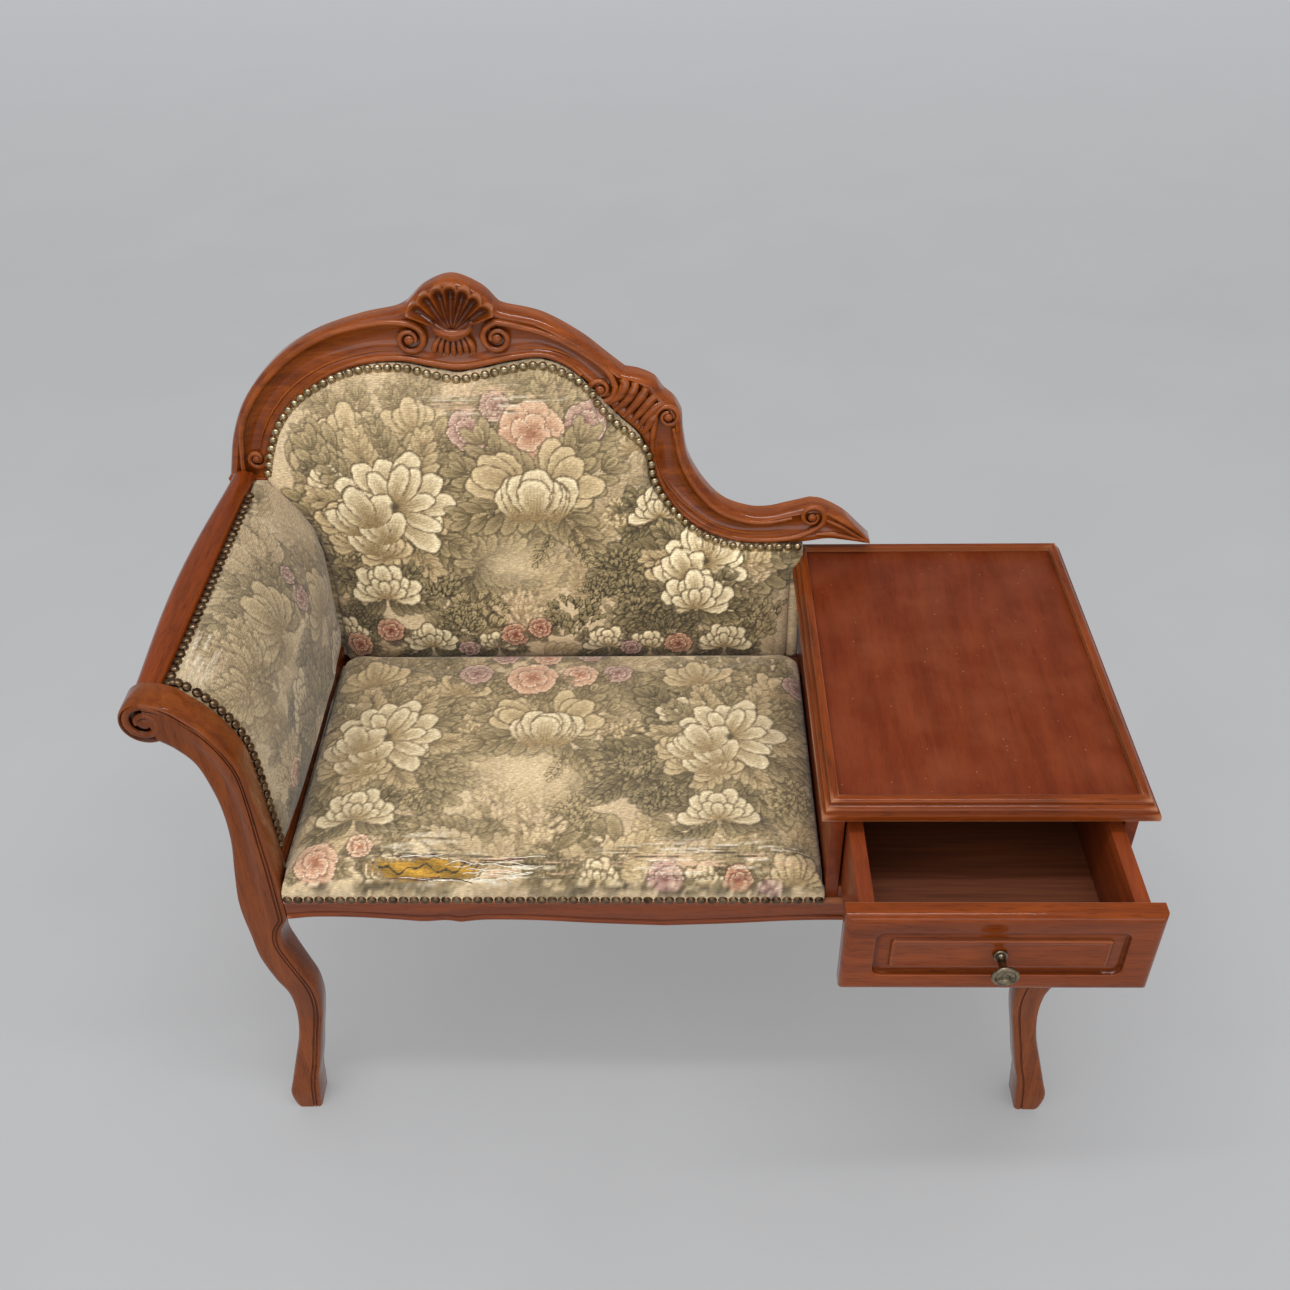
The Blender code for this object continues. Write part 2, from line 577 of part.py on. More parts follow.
def seat():
    left = FRAME_LEFT + LEG_BLOCK + 2 * GLUE_GAP
    right = CABINET_LEFT - GLUE_GAP
    front = GLUE_GAP
    box("seat_base_board", (left, front, FRAME_HEIGHT + GLUE_GAP),
        (right, BACK_FOOT - GLUE_GAP, SEAT_BOARD_TOP), plywood(), ROOT)
    rear = BACK_FOOT - SEAT_REAR_GAP
    outline = rounded_rectangle((left, front), (right, rear), SEAT_CORNER)
    middle = ((left + right) / 2, (front + rear) / 2)
    pillow("seat_pad", outline, middle, SEAT_EDGE, SEAT_CROWN, tapestry(), ROOT,
           (0.0, 0.0, SEAT_BOARD_TOP + GLUE_GAP), (0.0, 0.0, 0.0))


def arm_rail_centre():
    top = FRAME_HEIGHT + ARM_HEIGHT - ARM_RAIL_DROP
    return FRAME_LEFT - SCROLL_REACH - ARM_RAIL_OUTSET, top - ARM_RAIL_WIDTH / 2


def arm_rear(height):
    """How far back a straight piece of the arm may run at a height before it meets the sloped back."""
    return BACK_FOOT + (height - FRAME_HEIGHT) * math.tan(BACK_RAKE) - GLUE_GAP


def arm_rails():
    front = FRONT_BOARD + GLUE_GAP
    left = FRAME_LEFT + ARM_FOOT_SETBACK
    right = on_back(STILE_INNER)[0][0] - GLUE_GAP
    box("arm_lower_rail", (left, front, FRAME_HEIGHT + GLUE_GAP),
        (right, arm_rear(FRAME_HEIGHT), ARM_FOOT_TOP), mahogany_stain(), ROOT)
    centre = arm_rail_centre()
    radius = ARM_RAIL_WIDTH / 2
    section = arc(centre, radius, 0.0, math.radians(360), ROUND_STEPS)[:-1]
    length = arm_rear(centre[1] - radius) - front
    upright_board("arm_top_rail", section, front, length, mahogany_stain(), ROOT)


def arm_panel_edge():
    """Outer face of the arm, from under the top rail down to the seat frame."""
    rail = arm_rail_centre()
    under_rail = (rail[0], rail[1] - ARM_RAIL_WIDTH / 2 - ARM_PANEL * math.cos(ARM_PANEL_LEAN))
    foot = FRAME_LEFT + ARM_FOOT_SETBACK - ARM_PANEL - GLUE_GAP
    curve = [point for point in smooth([under_rail, *post_outer()]) if point[1] > ARM_FOOT_TOP + SEAT_EDGE]
    return [*curve, (foot, ARM_FOOT_TOP), (foot, FRAME_HEIGHT + GLUE_GAP)]


def arm_pad_section(crown):
    """Section of the arm pad: the inner side follows the post, swollen by the crown."""
    rail = arm_rail_centre()
    foot = ARM_FOOT_TOP + GLUE_GAP
    side = rail[0] + ARM_RAIL_WIDTH / 2 + 2 * GLUE_GAP
    inner = [point for point in smooth(post_inner(), 2) if point[1] > foot + SEAT_EDGE]
    inner = offset([(inner[0][0] - ARM_CROWN, foot), *inner], ARM_PANEL / 2)
    inner = [(x + crown * (z < rail[1]), max(z, foot)) for x, z in inner if x > side + ARM_PANEL]
    at_rail = [(side, rail[1] + ARM_RAIL_WIDTH / 4), (side, rail[1])]
    outer = offset(arm_panel_edge(), ARM_PANEL + GLUE_GAP)[1:-1]
    outer[-1] = (outer[-1][0], foot)
    return [*inner, *at_rail, *outer]


def arm_pad():
    """The arm pad, lofted from the post to the back with a swollen middle."""
    front = FRONT_BOARD + GLUE_GAP
    rear = arm_rear(FRAME_HEIGHT) - PAD_EDGE - PAD_CROWN / 2
    bm = bmesh.new()
    face = bm.faces.new([bm.verts.new((x, front, z)) for x, z in arm_pad_section(0.0)])
    for index, (share, swell) in enumerate(ARM_SWELL):
        face = grow(bm, face, keep_base=index == 0)
        y = front + share * (rear - front)
        for vert, (x, z) in zip(face.verts, arm_pad_section(swell * ARM_CROWN)):
            vert.co = (x, y, z)
    bmesh.ops.triangulate(bm, faces=bm.faces)
    add("arm_pad", mesh_from(bm, "arm_pad"), tapestry(), ROOT)


def arm_outer_panel():
    edge = arm_panel_edge()
    outline = [*edge, *offset(edge, ARM_PANEL)[::-1]]
    front = FRONT_BOARD + GLUE_GAP
    upright_board("arm_outer_panel", outline, front, arm_rear(FRAME_HEIGHT) - front, backing_cloth(), ROOT)


def on_back(points):
    """Points of a back outline as x and height along the slope."""
    width = BACK_RIGHT - FRAME_LEFT
    return [(FRAME_LEFT + u * width, s * BACK_HEIGHT) for u, s in points]


def saw_level(item, front):
    """Saws the foot of a sloped piece level, so that it stands on the seat frame."""
    for vert in item.data.vertices:
        if vert.co.y < GLUE_GAP:
            depth = front - vert.co.z
            vert.co.y = (GLUE_GAP + depth * math.sin(BACK_RAKE)) / math.cos(BACK_RAKE)


def crest_rail():
    outer = chain(CREST_ARCH, CREST_SHELL, CREST_SHOULDER, CREST_REEDS, CREST_SWEEP, CREST_LEAF,
                  CREST_LEAF_UNDER)
    outline = [*on_back(outer), *on_back(smooth(CREST_INNER))[-2::-1]]
    upright_board("crest_rail", outline, 0.0, BACK_THICKNESS, mahogany_stain(), BACK)


def left_stile():
    outer = on_back(smooth(STILE_OUTER))
    inner = on_back(smooth(STILE_INNER))
    lowered = [(x, z - GLUE_GAP * (z > BACK_HEIGHT / 2)) for x, z in [*inner, *outer[::-1]]]
    stile = as_mesh(upright_board("back_left_stile", lowered, 0.0, BACK_THICKNESS, mahogany_stain(), BACK))
    saw_level(stile, BACK_THICKNESS / 2)


def hidden_back_frame():
    """Right stile and lower rail, which the pad covers."""
    front = PAD_DEPTH + GLUE_GAP
    thickness = BACK_THICKNESS - front
    right = BACK_RIGHT
    top = CREST_INNER[-1][1] * BACK_HEIGHT - GLUE_GAP
    left = right - STILE_WIDTH
    outline = [(left, 0.0), (right, 0.0), (right, top), (left, top)]
    stile = as_mesh(upright_board("back_right_stile", outline, front, thickness, bare_beech(), BACK))
    saw_level(stile, front + thickness / 2)
    start = max(x for x, z in on_back(smooth(STILE_INNER))) + GLUE_GAP
    end = left - GLUE_GAP
    outline = [(start, 0.0), (end, 0.0), (end, LOWER_RAIL_HEIGHT), (start, LOWER_RAIL_HEIGHT)]
    rail = as_mesh(upright_board("back_lower_rail", outline, front, thickness, bare_beech(), BACK))
    saw_level(rail, front + thickness / 2)


def back_opening(clearance):
    """Outline of the space inside the back frame, down to the seat board."""
    left = [point for point in on_back(smooth(STILE_INNER)) if point[1] > PAD_FOOT]
    edge = [*left[:-1], *on_back(smooth(CREST_INNER))]
    edge = offset(edge, -clearance)
    right = BACK_RIGHT - clearance
    edge = [point for point in edge if point[0] < right]
    return [(edge[0][0], PAD_FOOT), *edge, (right, edge[-1][1]), (right, PAD_FOOT)]


def back_upholstery():
    outline = back_opening(GLUE_GAP)
    pole = on_back([BACK_POLE])[0]
    pillow("back_pad", outline, pole, PAD_DEPTH + PAD_EDGE, PAD_CROWN, tapestry(), BACK,
           (0.0, PAD_DEPTH, 0.0), UPRIGHT)
    upright_board("back_outer_panel", outline, BACK_THICKNESS + GLUE_GAP, BACK_PANEL, backing_cloth(), BACK)


def cabinet_case():
    front = CABINET_SETBACK
    for name, left in (("cabinet_left_side", CABINET_LEFT), ("cabinet_right_side", CABINET_INNER_RIGHT)):
        box(name, (left, front, CABINET_BASE), (left + CABINET_BOARD, CABINET_REAR, CABINET_CEILING),
            veneer(), ROOT)
    left = CABINET_INNER_LEFT + GLUE_GAP
    right = CABINET_INNER_RIGHT - GLUE_GAP
    back_front = CABINET_REAR - CABINET_BACK
    box("cabinet_back", (left, back_front, CABINET_BASE), (right, CABINET_REAR, CABINET_CEILING),
        plywood(), ROOT)
    box("cabinet_floor", (left, front, CABINET_BASE),
        (right, back_front - GLUE_GAP, CABINET_BASE + CABINET_FLOOR), plywood(), ROOT)
    rail_base = DRAWER_SIDE_TOP + SLIDE_GAP
    box("cabinet_top_rail", (left, front, rail_base), (right, front + TOP_RAIL_DEPTH, CABINET_CEILING),
        veneer(), ROOT)
    run = (front + TOP_RAIL_DEPTH + GLUE_GAP, back_front - GLUE_GAP)
    runner_base = CABINET_BASE + CABINET_FLOOR + GLUE_GAP
    for side, start in (("left", left), ("right", right - RUNNER_WIDTH)):
        end = start + RUNNER_WIDTH
        box(side + "_kicker", (start, run[0], rail_base), (end, run[1], CABINET_CEILING), bare_beech(), ROOT)
        box(side + "_runner", (start, front, runner_base), (end, run[1], runner_base + RUNNER_HEIGHT),
            bare_beech(), ROOT)


def moulding_length(name, start, end, inwards):
    """One mitred length of the top moulding from corner to corner; its section grows inwards."""
    start = Vector(start)
    run = Vector(end) - start
    along = run.normalized()
    inwards = Vector(inwards)
    bm = bmesh.new()
    section = [(w * TOP_MOULDING_WIDTH, h * TOP_MOULDING_HEIGHT) for w, h in MOULDING_SECTION]
    rise = Vector((0.0, 0.0, 1.0))
    places = [start + inwards * w + along * (w + GLUE_GAP) + rise * h for w, h in section]
    face = bm.faces.new([bm.verts.new(place) for place in places])
    far = grow(bm, face, keep_base=True)
    for vert, (w, h) in zip(far.verts, section):
        vert.co += along * (run.length - 2 * w - 2 * GLUE_GAP)
    add(name, mesh_from(bm, name), mahogany_stain(), ROOT)


def cabinet_top():
    low = (TOP_LEFT, TOP_FRONT, TOP_BASE)
    right_front = (TOP_RIGHT, TOP_FRONT, TOP_BASE)
    right_rear = (TOP_RIGHT, TOP_REAR, TOP_BASE)
    left_rear = (TOP_LEFT, TOP_REAR, TOP_BASE)
    moulding_length("top_moulding_front", low, right_front, (0, 1, 0))
    moulding_length("top_moulding_right", right_front, right_rear, (-1, 0, 0))
    moulding_length("top_moulding_rear", right_rear, left_rear, (0, -1, 0))
    moulding_length("top_moulding_left", left_rear, low, (1, 0, 0))
    inset = TOP_MOULDING_WIDTH + GLUE_GAP
    box("top_panel", (TOP_LEFT + inset, TOP_FRONT + inset, TOP_BASE),
        (TOP_RIGHT - inset, TOP_REAR - inset, TOP_BASE + TOP_PANEL), veneer(), ROOT)


def drawer_front(floor_slot):
    left = CABINET_LEFT + DRAWER_FRONT_REVEAL
    right = CABINET_RIGHT - DRAWER_FRONT_REVEAL
    low = Vector((left, DRAWER_FRONT_FACE + MOULDING_DEPTH, DRAWER_BASE))
    high = Vector((right, DRAWER_FRONT_REAR, DRAWER_TOP))
    bm = bmesh.new()
    bmesh.ops.create_cube(bm, size=1.0)
    bmesh.ops.scale(bm, vec=high - low, verts=bm.verts)
    bmesh.ops.translate(bm, vec=(low + high) / 2, verts=bm.verts)
    face = min(bm.faces, key=lambda side: side.calc_center_median().y)
    field = FIELD_MARGIN - EDGE_MOULDING
    steps = ((EDGE_MOULDING, MOULDING_DEPTH), (field, 0.0), (MOULDING_DEPTH, -MOULDING_DEPTH),
             (MOULDING_DEPTH, 0.0), (2 * MOULDING_DEPTH, MOULDING_DEPTH))
    for inwards, outwards in steps:
        bmesh.ops.inset_region(bm, faces=[face], thickness=inwards, depth=outwards, use_even_offset=True,
                               use_boundary=True)
    front = add("drawer_front", mesh_from(bm, "drawer_front"), mahogany_stain(), DRAWER)
    cut(front, floor_slot)
    cut(front, screw_bore())


def screw_bore():
    bm = bmesh.new()
    bmesh.ops.create_cone(bm, cap_ends=True, segments=ROUND_STEPS, radius1=SCREW_BORE, radius2=SCREW_BORE,
                          depth=3 * DRAWER_FRONT_THICKNESS)
    middle = (CABINET_MIDDLE, DRAWER_FRONT_FACE, KNOB_CENTRE)
    return make_cutter(add("screw_bore", mesh_from(bm, "screw_bore"), None, DRAWER, middle, UPRIGHT, CUTTERS))


def drawer_floor_edges(clearance):
    left = DRAWER_BOX_LEFT + DRAWER_SIDE - DRAWER_GROOVE + clearance
    right = DRAWER_BOX_RIGHT - DRAWER_SIDE + DRAWER_GROOVE - clearance
    return left, right, DRAWER_FRONT_REAR - DRAWER_GROOVE + clearance


def drawer_floor_slot():
    """Groove for the drawer floor, cut into the front and both sides."""
    left, right, front = drawer_floor_edges(0.0)
    rear = DRAWER_FRONT_REAR + 2 * DRAWER_LENGTH
    slot = box("drawer_floor_slot", (left, front, DRAWER_FLOOR_BASE - GLUE_GAP),
               (right, rear, DRAWER_FLOOR_TOP + GLUE_GAP), None, DRAWER, CUTTERS)
    return make_cutter(slot)


def drawer_box(floor_slot):
    front = DRAWER_FRONT_REAR + GLUE_GAP
    rear = front + DRAWER_LENGTH
    for side, left in (("left", DRAWER_BOX_LEFT), ("right", DRAWER_BOX_RIGHT - DRAWER_SIDE)):
        board = box("drawer_" + side + "_side", (left, front, DRAWER_SIDE_BASE),
                    (left + DRAWER_SIDE, rear, DRAWER_SIDE_TOP), veneer(), DRAWER)
        cut(board, floor_slot)
    left = DRAWER_BOX_LEFT + DRAWER_SIDE + GLUE_GAP
    right = DRAWER_BOX_RIGHT - DRAWER_SIDE - GLUE_GAP
    box("drawer_back", (left, rear - DRAWER_BACK, DRAWER_FLOOR_TOP + GLUE_GAP),
        (right, rear, DRAWER_SIDE_TOP - DRAWER_BACK_DROP), plywood(), DRAWER)
    left, right, front = drawer_floor_edges(GLUE_GAP)
    box("drawer_floor", (left, front, DRAWER_FLOOR_BASE), (right, rear, DRAWER_FLOOR_TOP), plywood(), DRAWER)


def knob():
    """Turned brass knob on a rosette, held by a screw from inside the drawer."""
    seat = DRAWER_FRONT_FACE - GLUE_GAP
    middle = (CABINET_MIDDLE, seat, KNOB_CENTRE)
    edge = [(share * ROSETTE_RADIUS, length * ROSETTE_THICKNESS) for share, length in ROSETTE_EDGE]
    hole = [(SCREW_BORE, 0.0), (SCREW_BORE, ROSETTE_THICKNESS)]
    turned("knob_rosette", [hole[1], *edge, *hole], antique_brass(), DRAWER, middle)
    foot = (CABINET_MIDDLE, seat - ROSETTE_THICKNESS - GLUE_GAP, KNOB_CENTRE)
    head = [(share * KNOB_RADIUS, length * KNOB_LENGTH) for share, length in KNOB_HEAD]
    stem = [(share * ROSETTE_RADIUS, length * KNOB_LENGTH) for share, length in KNOB_STEM]
    blind = SCREW_IN_KNOB + SCREW_CLEARANCE
    hole = [(SCREW_BORE, 0.0), (SCREW_BORE, blind), (0.0, blind)]
    turned("knob", [(0.0, KNOB_LENGTH), *head, *stem, *hole], antique_brass(), DRAWER, foot)
    shank = DRAWER_FRONT_THICKNESS + ROSETTE_THICKNESS + SCREW_IN_KNOB + 3 * GLUE_GAP
    under_head = DRAWER_FRONT_REAR + GLUE_GAP
    screw = [(0.0, shank), (SCREW_RADIUS, shank), (SCREW_RADIUS, 0.0), (SCREW_HEAD_RADIUS, 0.0),
             (SCREW_HEAD_RADIUS, -SCREW_HEAD_HEIGHT), (0.0, -SCREW_HEAD_HEIGHT)]
    turned("knob_screw", screw, steel(), DRAWER, (CABINET_MIDDLE, under_head, KNOB_CENTRE))


clear_scene()
PARTS = collection("telephone_bench")
CUTTERS = collection("cutters")
ROOT = empty("bench", None, (-(SCROLL_LEFT + TOP_RIGHT) / 2, -(KNOB_FRONT + CREST_REAR) / 2, 0.0))
BACK = empty("back_slope", ROOT, (0.0, BACK_FOOT, FRAME_HEIGHT), (-BACK_RAKE, 0.0, 0.0))
DRAWER = empty("drawer_slide", ROOT, (0.0, -DRAWER_SHOWN_OPEN, 0.0))

left_front_post()
right_front_leg()
rear_leg("left_rear_leg", FRAME_LEFT)
rear_leg("right_rear_leg", FRAME_RIGHT - REAR_LEG_WIDTH)
front_rail()
plain_rails()
corner_blocks()
seat()
arm_rails()
arm_pad()
arm_outer_panel()
crest_rail()
left_stile()
hidden_back_frame()
back_upholstery()
cabinet_case()
cabinet_top()
FLOOR_SLOT = drawer_floor_slot()
drawer_front(FLOOR_SLOT)
drawer_box(FLOOR_SLOT)
knob()
bpy.context.view_layer.update()
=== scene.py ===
"""Telephone bench: carved mahogany-stained frame, floral tapestry over foam, brass nails, drawer cabinet."""
import json
import math

import bmesh
import bpy
import numpy as np
from mathutils import Matrix, Vector
from mathutils.bvhtree import BVHTree


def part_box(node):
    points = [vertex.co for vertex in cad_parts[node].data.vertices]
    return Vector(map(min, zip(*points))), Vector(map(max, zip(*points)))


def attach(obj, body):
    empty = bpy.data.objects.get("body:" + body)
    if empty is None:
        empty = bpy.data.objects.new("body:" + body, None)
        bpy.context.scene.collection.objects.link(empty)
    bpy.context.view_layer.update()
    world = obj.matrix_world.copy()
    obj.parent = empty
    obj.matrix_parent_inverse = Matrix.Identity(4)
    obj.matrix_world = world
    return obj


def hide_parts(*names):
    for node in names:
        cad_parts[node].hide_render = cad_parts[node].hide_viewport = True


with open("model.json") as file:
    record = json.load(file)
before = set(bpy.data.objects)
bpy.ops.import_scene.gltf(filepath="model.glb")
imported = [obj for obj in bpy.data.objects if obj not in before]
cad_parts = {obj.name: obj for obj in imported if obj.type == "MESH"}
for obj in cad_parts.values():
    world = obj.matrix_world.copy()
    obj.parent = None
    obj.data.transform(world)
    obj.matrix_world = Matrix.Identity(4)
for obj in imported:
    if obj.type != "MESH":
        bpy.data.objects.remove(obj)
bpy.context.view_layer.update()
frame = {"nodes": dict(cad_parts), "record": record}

MM = 0.001
WELD = 1e-5                                 # points closer than this are one
RAKE = math.radians(5)                      # lean of the back
BACK_FOOT = Vector((0, 0.25296, 0.405))     # foot of the back on the seat frame
BACK = Matrix.Translation(BACK_FOOT) @ Matrix.Rotation(-RAKE, 4, "X")
RAIL_TOP = 0.405
FRAME_LEFT = -0.477
FRAME_RIGHT = 0.509
FRAME_FRONT = -0.17804
STUDIO_WHITE = (0.99, 0.99, 1, 1)


# Lines and sweeps

def line(points, spacing=3 * MM):
    """Evenly spaced places on a smooth line through the given points."""
    points = np.array(points, float)
    ends = np.vstack([2 * points[0] - points[1], points, 2 * points[-1] - points[-2]])
    t = np.linspace(0, 1, 12, endpoint=False)[:, None]
    runs = []
    for a, b, c, d in zip(ends, ends[1:], ends[2:], ends[3:]):
        cubic = (3 * b - a - 3 * c + d) * t ** 3
        runs.append((2 * b + (c - a) * t + (2 * a - 5 * b + 4 * c - d) * t ** 2 + cubic) / 2)
    return even(np.vstack([*runs, points[-1:]]), spacing)


def even(path, spacing=None, count=None):
    """The same path with evenly spaced places, by spacing or by count."""
    steps = np.linalg.norm(np.diff(path, axis=0), axis=1)
    length = np.concatenate([[0], np.cumsum(steps)])
    count = count or max(2, int(round(length[-1] / spacing)) + 1)
    places = np.linspace(0, length[-1], count)
    return np.column_stack([np.interp(places, length, path[:, k]) for k in range(path.shape[1])])


def direction(turn):
    """A step of one unit in a plane, at an angle in degrees."""
    return np.array((math.cos(math.radians(turn)), math.sin(math.radians(turn))))


def volute(centre, radius, start, way, turns=1.5, eye=0.2):
    """Places on a spiral, from its rim in to its eye; way is 1 or -1, the sense of the turn."""
    share = np.linspace(0, 1, 40)
    angle = math.radians(start) + way * 2 * math.pi * turns * share
    reach = radius * (1 - (1 - eye) * share ** 0.85)
    return np.array(centre) + np.column_stack([np.cos(angle) * reach, np.sin(angle) * reach])


def sweep(bm, rings):
    """Carries a face from ring to ring; the first and the last ring close the ends."""
    face = bm.faces.new([bm.verts.new(place) for place in rings[0]])
    for index, ring in enumerate(rings[1:]):
        grown = bmesh.ops.extrude_face_region(bm, geom=[face])["geom"]
        if index:
            bmesh.ops.delete(bm, geom=[face], context="FACES_ONLY")
        face = [part for part in grown if isinstance(part, bmesh.types.BMFace)][0]
        for vert, place in zip(face.verts, ring):
            vert.co = place


def bead(bm, path, radius, depth, flat=0.8, sides=10):
    """A carved bead along a path of x and height, with its middle at the given depth."""
    along = np.gradient(path, axis=0)
    along /= np.linalg.norm(along, axis=1)[:, None]
    radius = np.interp(np.linspace(0, 1, len(path)), np.linspace(0, 1, np.size(radius)), np.ravel(radius))
    turns = np.linspace(0, 2 * math.pi, sides, endpoint=False)
    rings = []
    for (x, z), (ax, az), r in zip(path, along, radius):
        rings.append([(x - az * r * math.cos(a), depth + flat * r * math.sin(a), z + ax * r * math.cos(a))
                      for a in turns])
    sweep(bm, rings)


def button(bm, place, radius, height, facing=(0, -1, 0), around=8, rings=6):
    """A domed head that faces a direction."""
    turn = Vector(facing).to_track_quat("Z", "Y").to_matrix().to_4x4()
    size = Matrix.Diagonal((radius, radius, height, 1))
    bmesh.ops.create_uvsphere(bm, u_segments=around, v_segments=rings, radius=1,
                              matrix=Matrix.Translation(place) @ turn @ size)


def mesh_of(name, bm):
    """Ends a bmesh as a mesh."""
    mesh = bpy.data.meshes.new(name)
    bm.to_mesh(mesh)
    bm.free()
    return mesh


def opened(mesh):
    """A bmesh with the faces of a mesh."""
    bm = bmesh.new()
    bm.from_mesh(mesh)
    return bm


def placed(name, data):
    """Puts a new object into the scene."""
    item = bpy.data.objects.new(name, data)
    bpy.context.scene.collection.objects.link(item)
    return item


def surface(mesh):
    """A mesh's faces, for finding the place on them that is nearest to a point or along a ray."""
    return BVHTree.FromPolygons([v.co for v in mesh.vertices], [p.vertices for p in mesh.polygons])


def piece(name, bm, material, body="bench", nodes=(), matrix=None, angle=38):
    """Finishes a mesh as a piece of the bench, with crisp edges above an angle."""
    if matrix:
        bm.transform(matrix)
    bmesh.ops.remove_doubles(bm, verts=bm.verts, dist=WELD)
    bmesh.ops.recalc_face_normals(bm, faces=bm.faces)
    mesh = mesh_of(name, bm)
    mesh.shade_smooth()
    mesh.set_sharp_from_angle(angle=math.radians(angle))
    mesh.materials.append(material)
    item = placed(name, mesh)
    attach(item, body)
    if nodes:
        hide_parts(*nodes)
    return item


def copy_of(node):
    """A welded copy of a solid's mesh."""
    bm = opened(frame["nodes"][node].data)
    bmesh.ops.remove_doubles(bm, verts=bm.verts, dist=WELD)
    return bm


def eased(node, material, width=1.2 * MM, body="bench"):
    """A board with its sharp edges rounded over, in place of its solid."""
    bm = copy_of(node)
    bmesh.ops.dissolve_limit(bm, angle_limit=math.radians(1), verts=bm.verts, edges=bm.edges)
    sharp = [edge for edge in bm.edges if edge.calc_face_angle(0) > math.radians(40)]
    bmesh.ops.bevel(bm, geom=sharp, offset=width, affect="EDGES", segments=2, profile=0.5, material=-1)
    return piece(node + "_board", bm, material, body, [node])


# Materials

def srgb(text):
    """An sRGB hex colour as linear values."""
    values = [int(text[i:i + 2], 16) / 255 for i in (1, 3, 5)]
    return [v / 12.92 if v <= 0.04045 else ((v + 0.055) / 1.055) ** 2.4 for v in values]


def node(tree, kind, inputs=None, **settings):
    """Adds a shader node with its settings; an input is a socket to link or a value."""
    added = tree.nodes.new("ShaderNode" + kind)
    for key, value in settings.items():
        setattr(added, key, value)
    for key, value in (inputs or {}).items():
        if isinstance(value, bpy.types.NodeSocket):
            tree.links.new(value, added.inputs[key])
        else:
            added.inputs[key].default_value = value
    return added


def blank(name, roughness, metallic=0.0, **constants):
    """A new material with its nodes and its shader; an underscore in a constant's name stands for a space."""
    material = bpy.data.materials.new(name)
    material.use_nodes = True
    tree = material.node_tree
    shader = tree.nodes["Principled BSDF"]
    shader.inputs["Roughness"].default_value = roughness
    shader.inputs["Metallic"].default_value = metallic
    for key, value in constants.items():
        shader.inputs[key.replace("_", " ")].default_value = value
    return material, tree, shader


def dressed(tree, shader, colour, relief=None, strength=0.0, depth=0.0):
    """Gives a shader its colour and, where there is one, its fine relief."""
    tree.links.new(colour, shader.inputs["Base Color"])
    if relief is not None:
        lift = node(tree, "Bump", {"Height": relief, "Strength": strength, "Distance": depth})
        tree.links.new(lift.outputs["Normal"], shader.inputs["Normal"])


def own_place(tree):
    """The place on a piece, in metres."""
    return node(tree, "TexCoord").outputs["Object"]


def noise(tree, place, size, detail, distortion=0.0):
    """Cloudy noise; its size is one length, or one along each axis."""
    scale = 1
    if np.isscalar(size):
        scale = 1 / size
    else:
        place = node(tree, "Mapping", {"Vector": place, "Scale": [1 / s for s in size]}).outputs["Vector"]
    inputs = {"Vector": place, "Scale": scale, "Detail": detail, "Distortion": distortion}
    return node(tree, "TexNoise", inputs).outputs["Fac"]


def ramp(tree, factor, low, high, first, last):
    """A colour that goes from the first to the last between two values of a factor."""
    added = node(tree, "ValToRGB", {"Fac": factor})
    for end, position, colour in zip(added.color_ramp.elements, (low, high), (first, last)):
        end.position = position
        end.color = (*colour, 1)
    return added.outputs["Color"]


def mixed(tree, factor, first, second, blend="MIX"):
    """Two colours mixed by a factor."""
    added = node(tree, "Mix", data_type="RGBA", blend_type=blend)
    for index, value in ((0, factor), (6, first), (7, second)):
        if isinstance(value, bpy.types.NodeSocket):
            tree.links.new(value, added.inputs[index])
        else:
            added.inputs[index].default_value = (*value, 1) if index else value
    return added.outputs[2]


